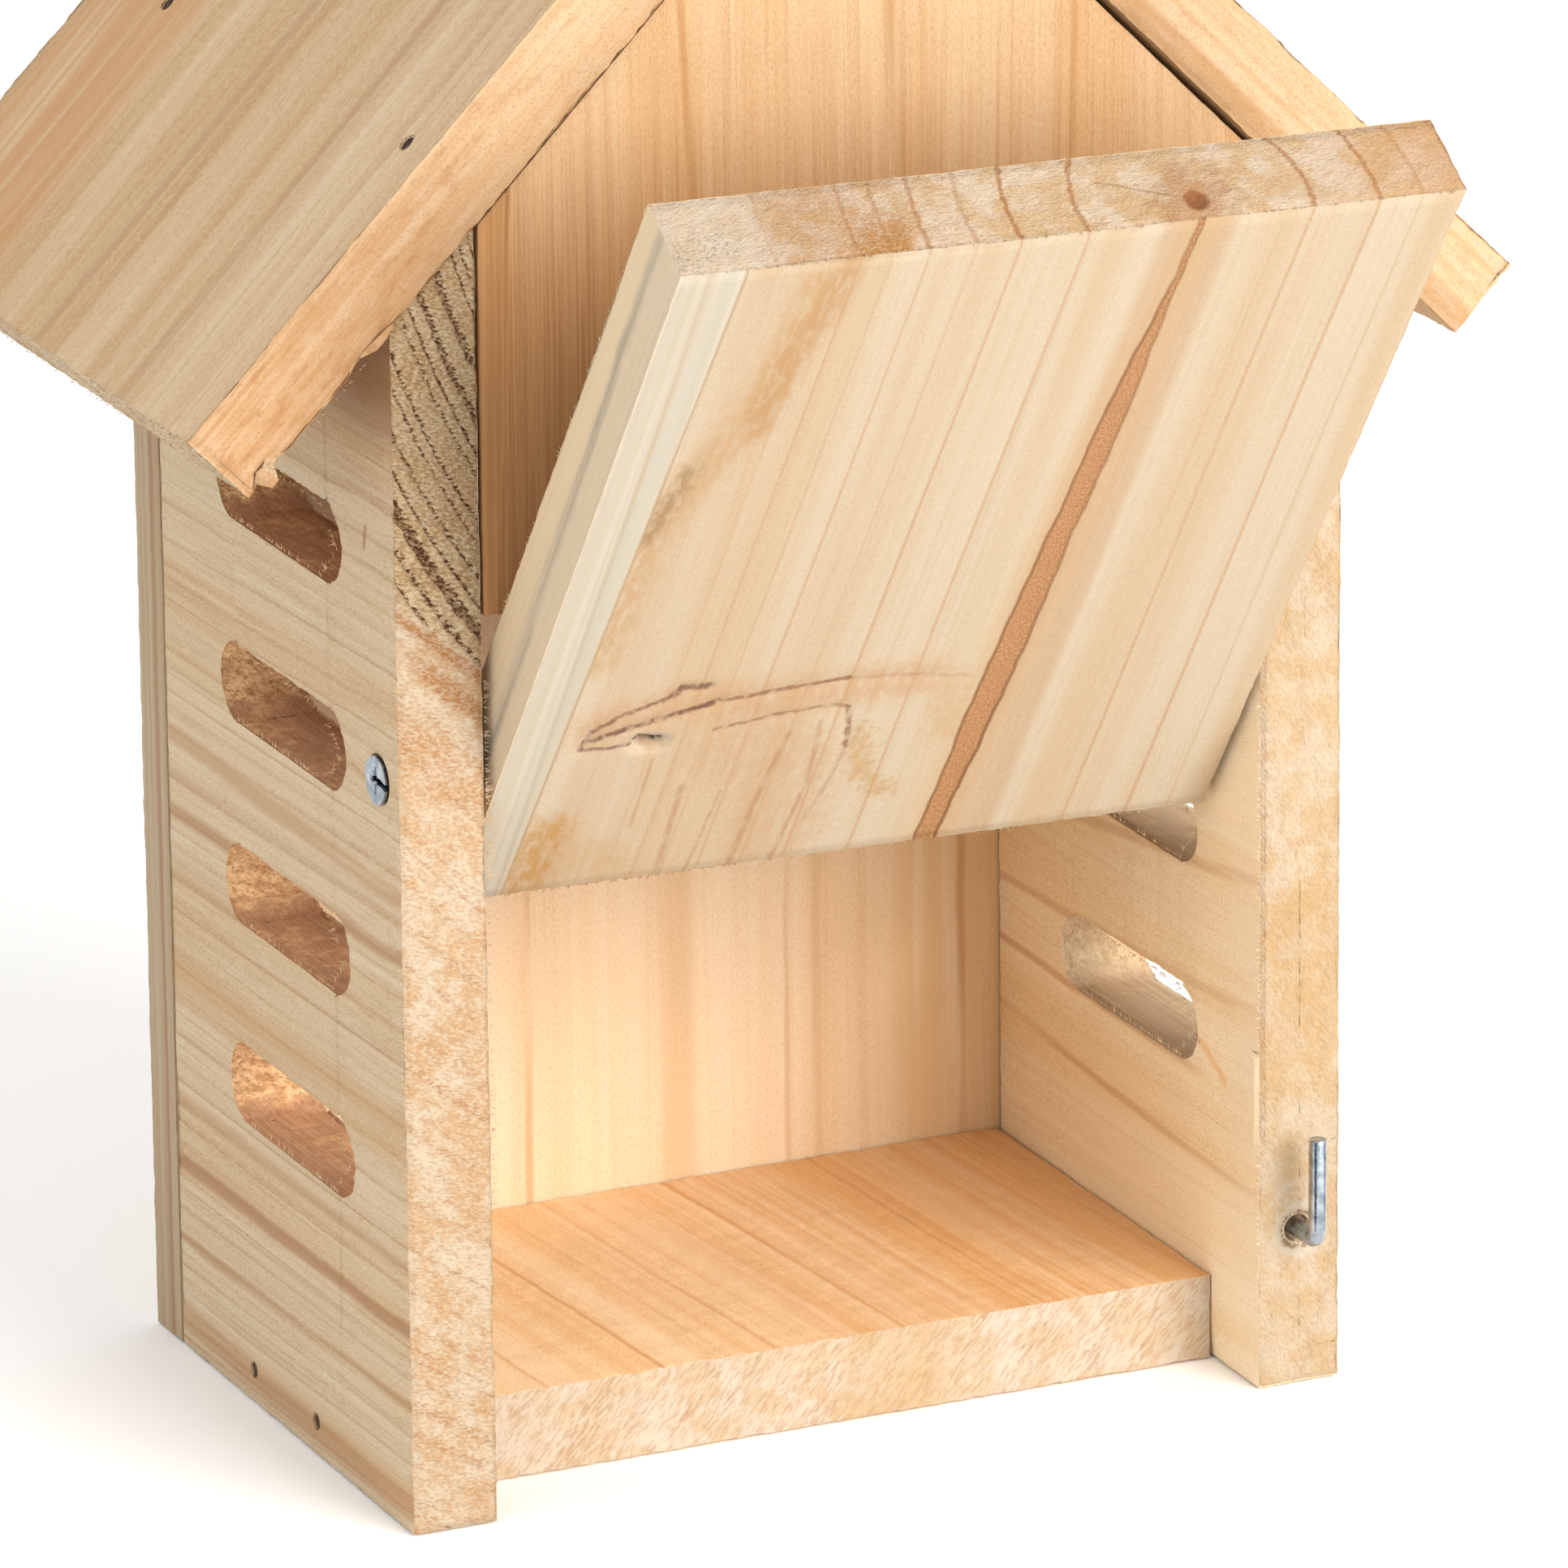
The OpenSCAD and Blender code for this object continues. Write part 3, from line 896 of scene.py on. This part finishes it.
backPanel = {
    "node": "back_panel",
    "body": "house",
    "slot": "back_panel",
    "cuts": cutsAt("Z", 6, 20, 84.4, 145) + cutsAt("X", -59.5, -30, 30, 59.5),
    "rim": 0.3,
    "ragged": 0.25,
    "skin": woodSkin("backPanelWood", woodOf(
        origin=(0, 0.0345, 0), axes="XYZ", pith=(-20, 220), ringGap=2.6, bend=3.0, seed=3.0,
        shine=1.25, ringShow=0.15, lineShow=0.18, strandShow=0.16, hairShow=0.14,
        pale=(250, 224, 190), warm=(244, 210, 168), late=(220, 174, 122), bright=(254, 234, 206),
        dark=(184, 134, 88),
        streaks=[
            streak(-15.5, 0.2, 0.7, 0.6, (206, 154, 100), stop=90),
            streak(6.8, 0.6, 3.0, 0.35, (214, 168, 118), stop=240),
            streak(22.5, 0.1, 0.6, 0.4, (206, 150, 96), stop=240),
            streak(27.0, 0.2, 1.0, 0.3, (206, 152, 98), stop=240),
            # the broad honey band on the right is partly the wood's own tone, partly painted shade cast by
            # the right board
            streak(48.0, 6.0, 9.0, 0.6, (230, 182, 118), stop=240),
            streak(49.0, 0.2, 0.9, 0.5, (186, 128, 72), stop=240),
        ],
    ), backMarks),
}


def floorMarks(colour, height, spot, grain):
    across, through, along = spot
    shade = across.step(-40.0, 34.0) * (1 - grain["end"]) * (0.35 + 0.35 * grain["strands"].step(0.3, 0.7))
    colour = shade.blend(colour, seen(0.85, (202, 142, 80)))
    golden = near(across + (grain["coarse"] - 0.5) * 8, 8.0, 3.0, 8.0) * grain["end"] * 0.4
    return golden.blend(colour, seen(grain["endShine"], (236, 190, 124))), height


floorBoard = {
    "node": "floor_board",
    "body": "house",
    "slot": "floor_board",
    "rim": 0.35,
    "ragged": 0.35,
    "areas": [{"name": "frontEnd", "test": turnedTo((0, -1, 0)), "step": 0.6,
               "rough": [("saw", 0.35), ("chip", 0.15)]}],
    "skin": woodSkin("floorWood", woodOf(
        origin=(0, -0.0435, 0.012), axes="XZY", pith=(-120, 70), ringGap=7.0, bend=4.0, seed=11.0, lean=0.08,
        shine=0.85, endShine=1.9, ringShow=0.2, lineShow=0.2, strandShow=0.2, hairShow=0.2, sawn=-42,
        speckSize=0.34, hatch=0.2,
        endRingShow=0.2, speckShow=0.6,
        pale=(235, 206, 170), warm=(228, 188, 140), late=(204, 150, 94), bright=(246, 222, 188),
        dark=(156, 106, 60),
        endPale=(253, 232, 208), endWarm=(246, 214, 176), endLate=(228, 182, 134), endDark=(206, 156, 108),
        streaks=[
            streak(-40.0, 0.1, 0.5, 0.55, (186, 124, 64), stop=90),
            streak(-24.0, 0.1, 0.5, 0.55, (190, 128, 66), stop=90),
            streak(-8.0, 0.1, 0.6, 0.5, (190, 128, 66), stop=90),
            streak(10.0, 0.1, 0.5, 0.55, (186, 124, 62), stop=90),
            streak(31.0, 0.1, 0.6, 0.5, (186, 124, 62), stop=90),
        ],
    ), floorMarks),
}


def gableMarks(colour, height, spot, grain):
    across, through, along = spot
    paintedShade = (along + (grain["strands"] - 0.5) * 40).step(76.0, 30.0) * 0.85  # painted shadow of the open door: the lower part is darker, more so on the left
    paintedShade = paintedShade * (0.75 + 0.25 * across.step(50.0, -30.0)) * (1 - grain["end"])
    shadowTone = grain["hairs"].step(0.35, 0.65).blend(seen(1.12, (184, 132, 80)), seen(1.12, (162, 108, 60)))
    colour = paintedShade.blend(colour, shadowTone)
    strip = near(across - along * 0.03, -57.0, 5.4, 0.5) * (1 - grain["end"]) * 0.8
    pink = grain["strands"].step(0.3, 0.7).blend(seen(1.2, (192, 142, 92)), seen(1.2, (166, 116, 68)))
    colour = strip.blend(colour, pink)
    return colour, height


gableBoard = {
    "node": "gable_board",
    "body": "house",
    "slot": "gable_board",
    "rim": 0.22,
    "ragged": 0.2,
    "areas": [{"name": "rightSlope", "test": turnedTo((1, 0, 1)), "step": 2.0, "rough": [("wave", -1.1)]}],
    "skin": woodSkin("gableWood", woodOf(
        origin=(0, -0.0435, 0.12), axes="XYZ", pith=(-140, 30), ringGap=3.0, bend=3.0, seed=21.0,
        shine=1.75, endShine=1.6, ringShow=0.2, lineShow=0.22, strandShow=0.22, hairShow=0.22,
        endRingShow=0.4, speckShow=0.5,
        pale=(250, 214, 168), warm=(242, 196, 142), late=(212, 154, 92), bright=(254, 228, 192),
        dark=(164, 110, 58),
        streaks=[
            streak(-51.3, 0.1, 0.4, 1.0, (140, 88, 44), lean=0.03, wiggle=0.4),
            streak(6.0, 0.3, 1.6, 0.5, (206, 146, 80), lean=-0.05),
            streak(27.8, 0.1, 0.7, 0.5, (204, 146, 82)),
            streak(-21.5, 0.15, 0.8, 0.55, (200, 138, 72), lean=-0.06),
        ],
    ), gableMarks),
}


def slopeFrame(side):  # the roof boards' own frame: X down the slope on the right, Z out of the roof
    return Matrix.Rotation(math.radians(45 * side), 3, "Y")


def roofMarks(colour, height, spot, grain):  # the sawn front faces are a deeper orange with fine cross flecks
    across, through, along = spot
    front = across.step(-44.0, -44.7) * (1 - grain["end"])
    low = along.step(-40.0, -100.0)  # towards the left eave
    lower = through.step(4.6, 3.0) * front * (1 - along.step(0.0, -30.0) * 0.7)
    tone = grain["strands"].step(0.35, 0.65).blend(seen(1.8, (250, 216, 174)), seen(1.8, (242, 200, 150)))
    colour = (front * 0.85).blend(colour, tone)
    worn = low * front * (0.35 + 0.4 * grain["strands"].step(0.3, 0.7))
    colour = worn.blend(colour, seen(2.1, (222, 164, 108)))
    colour = (lower * 0.5).blend(colour, seen(2.1, (218, 160, 102)))
    blotch = joined(across, through * 1.6, along * 0.6).noise(2.6, 3.0, 0.6)
    colour = (blotch.step(0.52, 0.68) * front * (0.2 + 0.3 * low)).blend(colour, seen(2.1, (212, 146, 88)))
    colour = (blotch.step(0.46, 0.32) * front * 0.4).blend(colour, seen(2.1, (252, 220, 188)))
    flecks = joined(across, through, along * 2.2).noise(0.36, 2.0).step(0.54, 0.66)
    colour = (flecks * front * 0.4).blend(colour, seen(2.1, (196, 134, 78)))
    return colour, height


def roofAreas(side):
    return [
        {"name": "frontFace", "test": turnedTo((0, -1, 0)), "step": 0.9,
         "rough": [("wave", 0.3), ("saw", 0.14)]},
        {"name": "eaveEnd", "test": turnedTo((side, 0, -1)), "step": 0.7,
         "rough": [("saw", 0.5), ("chip", 0.3)]},
    ]


roofWood = {"origin": (-0.002, 0, 0.2215), "axes": "YZX", "bend": 3.0, "ringShow": 0.35, "lineShow": 0.3,
            "strandShow": 0.3, "hairShow": 0.2, "endRingShow": 0.4, "speckShow": 0.7}

roofLeft = {
    "node": "roof_left",
    "body": "house",
    "slot": "roof_boards",
    "areas": roofAreas(-1),
    "fuzz": [
        fringe((-84.6, -44.6, 139.1), (-84.6, 58, 139.1), (-0.6, 0, -0.8), 60, (0.15, 0.4)),
        fringe((-84.5, -44.9, 139.2), (-30, -44.9, 193.6), (0.6, -0.1, -0.8), 60, (0.2, 0.6)),
    ],
    "hollows": [
        {"frame": lambda spot: (spot.x / millimetre, spot.z / millimetre) if spot.y < -0.0415 else None,
         "points": [(-82.6, 141.4), (-81.0, 143.0)], "half": 0.5, "soft": 1.4, "depth": 1.6},
        {"frame": lambda spot: (spot.x / millimetre, spot.z / millimetre) if spot.y < -0.0425 else None,
         "points": [(-70.0, 153.6), (-66.0, 157.4)], "half": 0.4, "soft": 1.2, "depth": 0.7},
    ],
    "cuts": slopes(-1, -6, 25, 71) + cutsAt("Y", -39, -29.2, 7.8, 39, 44.7),
    "rim": 0.4,
    "ragged": 0.5,
    "skin": woodSkin("roofLeftWood", woodOf(
        turn=slopeFrame(-1), pith=(30, -90), ringGap=5.5, seed=31.0,
        shine=1.2, endShine=1.0,
        pale=(222, 194, 156), warm=(208, 174, 130), late=(182, 138, 92), bright=(234, 212, 180),
        endPale=(196, 176, 146), endWarm=(180, 154, 118), endLate=(150, 116, 80), endDark=(104, 76, 50),
        endBright=(220, 204, 178),
        streaks=[
            streak(44.0, 12.0, 4.0, 0.7, (206, 152, 98), start=-200),
            streak(-22.0, 0.4, 1.4, 0.5, (176, 134, 90), start=-200),
            streak(6.0, 0.4, 1.4, 0.5, (176, 134, 90), start=-200),
        ],
        **roofWood,
    ), roofMarks),
}

roofRight = {
    "node": "roof_right",
    "body": "house",
    "slot": "roof_boards",
    "areas": roofAreas(1),
    "cuts": slopes(1, 25, 71) + cutsAt("Y", -39, 39),
    "rim": 0.4,
    "ragged": 0.5,
    "skin": woodSkin("roofRightWood", woodOf(
        turn=slopeFrame(1), pith=(-40, -120), ringGap=6.5, seed=41.0,
        shine=1.6, endShine=1.6, pale=(246, 208, 160), warm=(236, 188, 134), late=(206, 152, 98), **roofWood,
    ), roofMarks),
}


# The middle of the inner face's lower edge, swung up
doorFoot = pivot + opened @ (Vector((0, -0.0315, 0)) - pivot)
doorInner = opened @ Vector((0, 1, 0))
doorEnd = opened @ Vector((0, 0, -1))

# The knot and its scars, as points across and along the door's inner face
doorScars = [
    scratch([(-42.4, 89.8), (-41.7, 86.5), (-38.0, 84.0), (-32.0, 81.4)], 0.12, 0.6, 0.35, 0.75,
            (134, 86, 70), depth=0.3),
    scratch([(-32.0, 81.4), (-31.4, 79.8), (-27.5, 80.1)], 0.2, 0.8, 0.5, 0.8, (120, 70, 60), depth=0.3),
    scratch([(-41.9, 88.6), (-36.8, 86.9), (-30.3, 85.1), (-25.2, 83.6)], 0.2, 0.6, 0.3, 0.85, (122, 72, 58),
            depth=0.4),
    scratch([(-25.2, 83.6), (-17.4, 82.8), (-7.9, 82.1)], 0.1, 0.55, 0.25, 0.75, (150, 94, 64), depth=0.25),
    scratch([(-7.9, 82.1), (-1.0, 82.7), (9.5, 84.6)], 0.05, 0.5, 0.25, 0.4, (190, 136, 88), depth=0.15),
    scratch([(-42.6, 90.0), (-38.6, 90.3), (-34.6, 89.9)], 0.1, 0.5, 0.25, 0.75, (132, 86, 78), depth=0.25),
    scratch([(-24.4, 89.2), (-16.8, 87.8), (-8.4, 87.2), (-6.3, 88.0)], 0.08, 0.5, 0.25, 0.65, (160, 106, 72),
            depth=0.2),
    scratch([(-6.3, 88.0), (-5.4, 91.2), (-4.5, 96.2)], 0.12, 0.5, 0.2, 0.7, (150, 98, 66), depth=0.2),
    scratch([(-4.5, 96.2), (-5.0, 102.0), (-6.4, 110.0)], 0.06, 0.5, 0.25, 0.4, (184, 132, 88), depth=0.1),
]
# the knot hole's near-black colour is painted shade inside its dent
doorHole = scratch([(-34.4, 89.8), (-33.1, 90.3), (-31.8, 90.5)], 0.5, 0.35, 0.3, 1.0, (30, 18, 12), grit=0.8,
                   depth=2.2)
doorTints = [
    scratch([(-33.0, 4.0), (-34.6, 20.4), (-37.1, 31.3), (-41.0, 40.0), (-43.9, 50.0), (-45.0, 72.1)], 0.6,
            5.0, 0.8, 0.75, (222, 178, 122)),
    scratch([(-29.8, -1.0), (-31.0, 9.0), (-33.4, 18.0), (-34.4, 30.0)], 0.4, 3.4, 0.8, 0.6, (214, 162, 106)),
    scratch([(-41.4, 37.0), (-43.0, 43.0), (-44.0, 49.0)], 0.1, 2.4, 0.7, 0.6, (172, 136, 90)),
    scratch([(-41.0, 86.0), (-30.0, 83.0), (-14.0, 84.5), (2.0, 84.0)], 1.0, 5.5, 1.2, 0.55, (226, 172, 116)),
    scratch([(-20.0, 93.0), (-13.0, 98.0), (-10.0, 112.0)], 4.0, 6.0, 3.0, 0.45, (224, 178, 130)),
    scratch([(-43.0, 106.0), (-43.6, 119.0)], 1.0, 4.6, 1.2, 0.8, (216, 160, 80)),
    scratch([(-36.0, 112.0), (-30.0, 119.0)], 1.0, 4.6, 1.2, 0.4, (224, 176, 104)),
    scratch([(-3.4, 94.0), (-1.0, 102.0), (3.6, 106.0)], 0.4, 2.4, 2.0, 0.6, (218, 168, 96)),
    scratch([(7.5, 86.0), (8.5, 95.0)], 0.8, 3.0, 2.0, 0.4, (224, 178, 112)),
    scratch([(-31.8, 93.5), (-31.4, 107.0)], 0.08, 0.4, 0.15, 0.5, (202, 150, 104)),
    scratch([(-26.2, 100.0), (-25.0, 119.0)], 0.15, 0.6, 0.2, 0.5, (200, 146, 98)),
    scratch([(-20.3, 102.0), (-21.2, 119.0)], 0.08, 0.4, 0.15, 0.5, (202, 150, 104)),
    scratch([(-13.6, 92.0), (-14.6, 104.0), (-15.2, 119.0)], 0.15, 0.6, 0.2, 0.55, (198, 144, 96)),
    scratch([(-9.6, 90.0), (-8.2, 102.0), (-9.4, 119.0)], 0.1, 0.5, 0.2, 0.5, (200, 146, 98)),
]
pithWay = [(16.2, 0.0), (16.4, 8.0), (15.6, 24.0), (15.7, 36.0), (15.1, 48.0), (14.8, 60.0), (14.3, 74.0),
           (13.6, 86.0), (13.7, 96.0),
           (12.6, 106.0), (12.3, 119.0)]


def doorMarks(colour, height, spot, grain):
    across, through, along = spot
    shine = grain["shine"]
    end = grain["end"]
    face = through.step(-0.9, -0.4) * (1 - end)
    edge = along * -0.023 - 43.7  # the glue line of the narrow stave
    gap = across - edge
    stave = gap.step(0.05, -0.05)
    white = grain["strands"].step(0.3, 0.7).blend(seen(shine, (242, 231, 212)), seen(shine, (230, 215, 188)))
    blue = near(gap + (grain["coarse"] - 0.5) * 1.5, -2.0, 0.5, 1.2) * 0.5
    white = blue.blend(white, seen(shine, (222, 220, 206)))
    colour = (stave * (1 - end) * 0.85).blend(colour, white)
    colour = (near(gap, 0.0, 0.05, 0.28) * 0.55 * (1 - end)).blend(colour, seen(shine, (190, 152, 102)))
    tan = near(across, along * 0.012 - 48.6, 0.1, 0.5) * face
    colour = (tan * 0.3).blend(colour, seen(shine, (202, 176, 136)))
    outer = across.step(-52.2, -52.5) * (1 - end)
    side = through.step(-8.5, -5.0).blend(seen(1.0, (212, 190, 156)), seen(1.0, (202, 184, 156)))
    vein = near(through - along * 0.028 + (grain["coarse"] - 0.5) * 1.5, -7.0, 0.1, 1.5)
    vein = vein * (0.3 + 0.5 * grain["strands"].step(0.35, 0.6))
    side = vein.blend(side, seen(1.0, (150, 140, 124)))
    side = (grain["hairs"].step(0.5, 0.75) * 0.3).blend(side, seen(1.0, (180, 156, 118)))
    colour = outer.blend(colour, side)
    ripple = joined(across * 1.2, 0.0, along * 0.5).noise(1.6, 3.0, 0.65).step(0.36, 0.58)
    for tint in doorTints:
        mask = stroke(across, along, tint) * face * (1 - stave) * tint["show"] * (0.4 + 0.6 * ripple)
        colour = mask.blend(colour, seen(shine, tint["colour"]))
    lip = near(((across + 32.8) ** 2 + ((along - 89.9) * 1.3) ** 2) ** 0.5, 2.0, 0.2, 0.6) * face * 0.6
    colour = lip.blend(colour, seen(shine, (250, 232, 206)))
    broken = joined(across, along, 0.0).noise(1.7, 3.0, 0.6).step(0.36, 0.56)
    for scar in doorScars:
        mask = stroke(across, along, scar) * face * scar["show"] * (0.25 + 0.75 * broken)
        colour = mask.blend(colour, seen(shine, scar["colour"]))
    # painted shade inside the knot hole
    hole = stroke(across, along, doorHole) * through.step(-4.5, -3.5) * (1 - end) * doorHole["show"]
    colour = hole.blend(colour, seen(shine, doorHole["colour"]))
    spread = along.step(8.0, 40.0)
    grit = joined(across, 0.0, along * 0.7).noise(0.3, 2.0, 0.6)
    wide = 0.35 + 1.3 * spread + 0.35 * along.step(50.0, 80.0) - 0.5 * along.step(92.0, 110.0)
    bent = across + (joined(0.0, 0.0, along).noise(7.0, 3.0) - 0.5) * 1.3
    way = along * -0.034 + 16.5
    core = (abs(bent - way) - wide).step(0.25, -0.1)
    rim = near(abs(bent - way) - wide, 0.0, 0.1, 0.35)
    halo = (abs(bent - way) - wide).step(4.5, 0.5)
    colour = (halo * face * 0.35).blend(colour, seen(shine, (232, 184, 120)))
    pithTone = grit.step(0.35, 0.65).blend(seen(shine, (226, 170, 116)), seen(shine, (188, 126, 74)))
    colour = (core * face * 0.9).blend(colour, pithTone)
    colour = (rim * face * (0.65 - 0.4 * across.step(15.0, 16.5))).blend(colour, seen(shine, (146, 92, 48)))
    height = height - core * face * 0.15
    pale = near(across, -50.0, 6.0, 8.0) * end * 0.5
    colour = pale.blend(colour, seen(grain["endShine"], (246, 228, 206)))
    colour = (across.step(30.0, 50.0) * end * 0.45).blend(colour, seen(grain["endShine"], (232, 174, 116)))
    radial = ((across - 16.9) ** 2 + (through + 3.2) ** 2) ** 0.5
    star = (radial + (grain["speck"] - 0.5) * 1.4).step(1.9, 1.3) * end
    glow = radial.step(9.0, 2.0) * end
    colour = (glow * 0.3).blend(colour, seen(grain["endShine"], (226, 176, 120)))
    colour = (star * 0.9).blend(colour, seen(grain["endShine"], (168, 104, 60)))
    burnt = near(across + through * 0.45, -26.0, 2.0, 3.0) * through.step(-9.0, -1.0) * end
    burnt = burnt * (0.5 + 0.5 * grain["speck"].step(0.4, 0.55))
    colour = (burnt * 0.85).blend(colour, seen(grain["endShine"], (200, 136, 60)))
    mould = stroke(across, through, {"points": [(-52, -2), (-46, -4)], "half": 1.0, "soft": 3.0, "fuzz": 3.0})
    mould = mould * end * grain["speck"].step(0.5, 0.62) * 0.6
    colour = mould.blend(colour, seen(grain["endShine"], (170, 168, 150)))
    crack = stroke(across, through, {"points": [(14.5, -4.0), (5.0, -7.6)], "half": 0.02, "soft": 0.25}) * end
    colour = (crack * 0.45).blend(colour, seen(grain["endShine"], (160, 108, 66)))
    return colour, height


def onDoorFace(spot):
    local = opened.transposed() @ (spot - doorFoot) / millimetre
    return (local.x, local.z) if local.y > -0.6 else None


def onDoorEnd(spot):
    local = opened.transposed() @ (spot - doorFoot) / millimetre
    return (local.x, local.y) if local.z < 0.6 else None


def alongDoor(across, through, along):
    return (doorFoot + opened @ Vector((across, through, along)) * millimetre) / millimetre


doorBoard = {
    "node": "door",
    "body": "door",
    "slot": "door_board",
    "cuts": [(pivot, opened @ Vector((0, 1, 0))), (pivot, opened @ Vector((0, 0, 1)))],
    "rim": 0.3,
    "ragged": 0.25,
    "areas": [
        {"name": "innerFace", "test": turnedTo(doorInner), "step": 0.8, "rough": [("wave", 0.05)]},
        {"name": "farEnd", "test": turnedTo(doorEnd), "step": 0.6, "rough": [("saw", 0.25), ("chip", 0.1)]},
    ],
    "fuzz": [
        fringe(alongDoor(-52, -0.2, 118), alongDoor(52, -0.2, 118), opened @ Vector((0, 0.3, 0.8)), 120,
               (0.2, 0.6)),
        fringe(alongDoor(-52, -0.2, 0.3), alongDoor(52, -0.2, 0.3), opened @ Vector((0, 0.7, -0.5)), 90,
               (0.25, 0.6)),
        fringe(alongDoor(-52.5, -11.6, 0.3), alongDoor(-52.5, -11.6, 118), opened @ Vector((-1, 0, 0)), 70,
               (0.2, 0.5)),
    ],
    "hollows": [{"frame": onDoorFace, **scar, "soft": 1.0} for scar in doorScars] + [
        {"frame": onDoorFace, **doorHole, "soft": 1.0},
        {"frame": onDoorFace, "points": pithWay[3:], "half": 1.2, "soft": 1.0, "depth": 0.25},
        {"frame": onDoorEnd, "points": [(16.9, -3.2), (17.0, -3.1)], "half": 0.6, "soft": 1.2, "depth": 0.6},
    ],
    "skin": woodSkin("doorWood", woodOf(
        origin=doorFoot, turn=opened, axes="XYZ", pith=(16.6, -3.4), ringGap=60.0, bend=1.2, seed=0.0,
        shine=2.05, endShine=2.1, ringShow=0.14, lineShow=0.6, strandShow=0.14, hairShow=0.2, gritShow=0.16,
        sawn=80,
        endRingShow=0.9, speckShow=0.34, speckSize=0.28,
        pale=(242, 222, 192), warm=(236, 208, 170), late=(214, 164, 112), bright=(248, 234, 212),
        dark=(186, 142, 96),
        endPale=(248, 224, 196), endWarm=(234, 196, 148), endLate=(192, 126, 68), endDark=(206, 154, 106),
        rings=[(15.5, 0.8), (24.4, 0.9), (30.3, 0.45), (36.4, 0.7), (41.4, 0.55), (45.6, 0.7), (49.4, 0.4),
               (52.6, 0.35), (56.4, 0.5)],
    ), doorMarks),
}

for name, board in (
    ("leftSide", leftBoard),
    ("rightSide", rightBoard),
    ("backPanel", backPanel),
    ("floorBoard", floorBoard),
    ("gableBoard", gableBoard),
    ("roofLeft", roofLeft),
    ("roofRight", roofRight),
    ("doorBoard", doorBoard),
):
    makeBoard(name, board)


bpy.data.objects.remove(fibrePattern)


# Metal

def metalSkin(name, metal):
    material, shader, place, normal = newMaterial(name)
    spot = place.add("ShaderNodeVectorMath", {"operation": "SCALE"}, {0: place, "Scale": 1000.0})
    fine = spot.noise(0.25, 3.0)
    broad = spot.noise(1.6, 2.0)
    colour = broad.step(0.3, 0.7).blend(metal["bright"], metal["dull"])
    rough = metal["roughness"] + 0.15 * fine
    if "recess" in metal:  # the cross and the notch lie deeper than the head's face; painted shade darkens them inside
        x = place.add("ShaderNodeSeparateXYZ", {}, {0: place})
        paintedShade = (abs(x) * 1000.0).step(*metal["recess"])
        colour = paintedShade.blend(colour, metal["pit"])
        rough = rough + 0.3 * paintedShade
    plug(shader, "Base Color", colour)
    plug(shader, "Roughness", rough)
    bump = fine.add("ShaderNodeBump", {}, {"Height": fine, "Distance": 0.00004, "Strength": 0.6})
    plug(shader, "Normal", bump)
    shader.inputs["Metallic"].default_value = 1.0
    return material


screwSkin = metalSkin("zincScrew", {
    "bright": paint(196, 204, 210),
    "dull": paint(138, 148, 160),
    "roughness": 0.26,
    "recess": (65.75, 65.4),
    # the pit colour is painted shade inside the cross and the notch
    "pit": paint(34, 34, 36),
})
hookSkin = metalSkin("zincHook", {
    "bright": paint(188, 197, 205),
    "dull": paint(138, 150, 164),
    "roughness": 0.12,
})
bradSkin = metalSkin("bradIron", {
    "bright": paint(92, 78, 66),
    "dull": paint(60, 46, 36),
    "roughness": 0.5,
})


def easeEdges(piece, width, angle):
    onlyPick(piece)
    ease = piece.modifiers.new("ease", "BEVEL")
    ease.width = width * millimetre
    ease.segments = 2
    ease.limit_method = "ANGLE"
    ease.angle_limit = math.radians(angle)
    bpy.ops.object.modifier_apply(modifier=ease.name)


def cutAway(piece, cutter):
    onlyPick(piece)
    bite = piece.modifiers.new("bite", "BOOLEAN")
    bite.operation = "DIFFERENCE"
    bite.solver = "EXACT"
    bite.object = cutter
    bpy.ops.object.modifier_apply(modifier=bite.name)
    bpy.data.objects.remove(cutter)


def notchScrew(piece, side):  # the recess is worn, and a notch runs from it to the front edge of the head
    middle = Vector((66.0 * side, pivotDepth, 97.8 - 0.75 * side)) * millimetre
    onlyPick(piece)
    bpy.ops.mesh.primitive_cube_add(size=1, location=middle + Vector((0, -0.0021, 0)),
                                    rotation=(math.radians(12), 0, 0))
    notch = bpy.context.object
    notch.scale = (0.0016, 0.0027, 0.0009)
    cutAway(piece, notch)
    bpy.ops.mesh.primitive_cone_add(vertices=8, radius1=0.00118, radius2=0.0006, depth=0.0022,
                                    location=middle,
                                    rotation=(0, math.radians(-90 * side), 0))
    cutAway(piece, bpy.context.object)


for name, node, side in (
    ("pivotScrewLeft", "pivot_screw_left", -1),
    ("pivotScrewRight", "pivot_screw_right", 1),
):
    piece = copyNode(name, node)
    notchScrew(piece, side)
    easeEdges(piece, 0.07, 50)
    bpy.ops.object.shade_smooth_by_angle(angle=math.radians(30))
    piece.data.materials.clear()
    piece.data.materials.append(screwSkin)
    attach(piece, "door")
    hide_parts(node)

hook = copyNode("turnHook", "turn_hook")
easeEdges(hook, 0.14, 60)
bpy.ops.object.shade_smooth_by_angle(angle=math.radians(40))
hook.data.materials.append(hookSkin)
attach(hook, "hook")
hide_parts("turn_hook")

for node in ("floor_brads", "back_brads", "roof_brads_left", "roof_brads_right", "ridge_brads"):
    nodes[node].data.materials.clear()
    nodes[node].data.materials.append(bradSkin)
print("metal made")

bpy.ops.object.select_all(action="DESELECT")
bpy.context.view_layer.update()
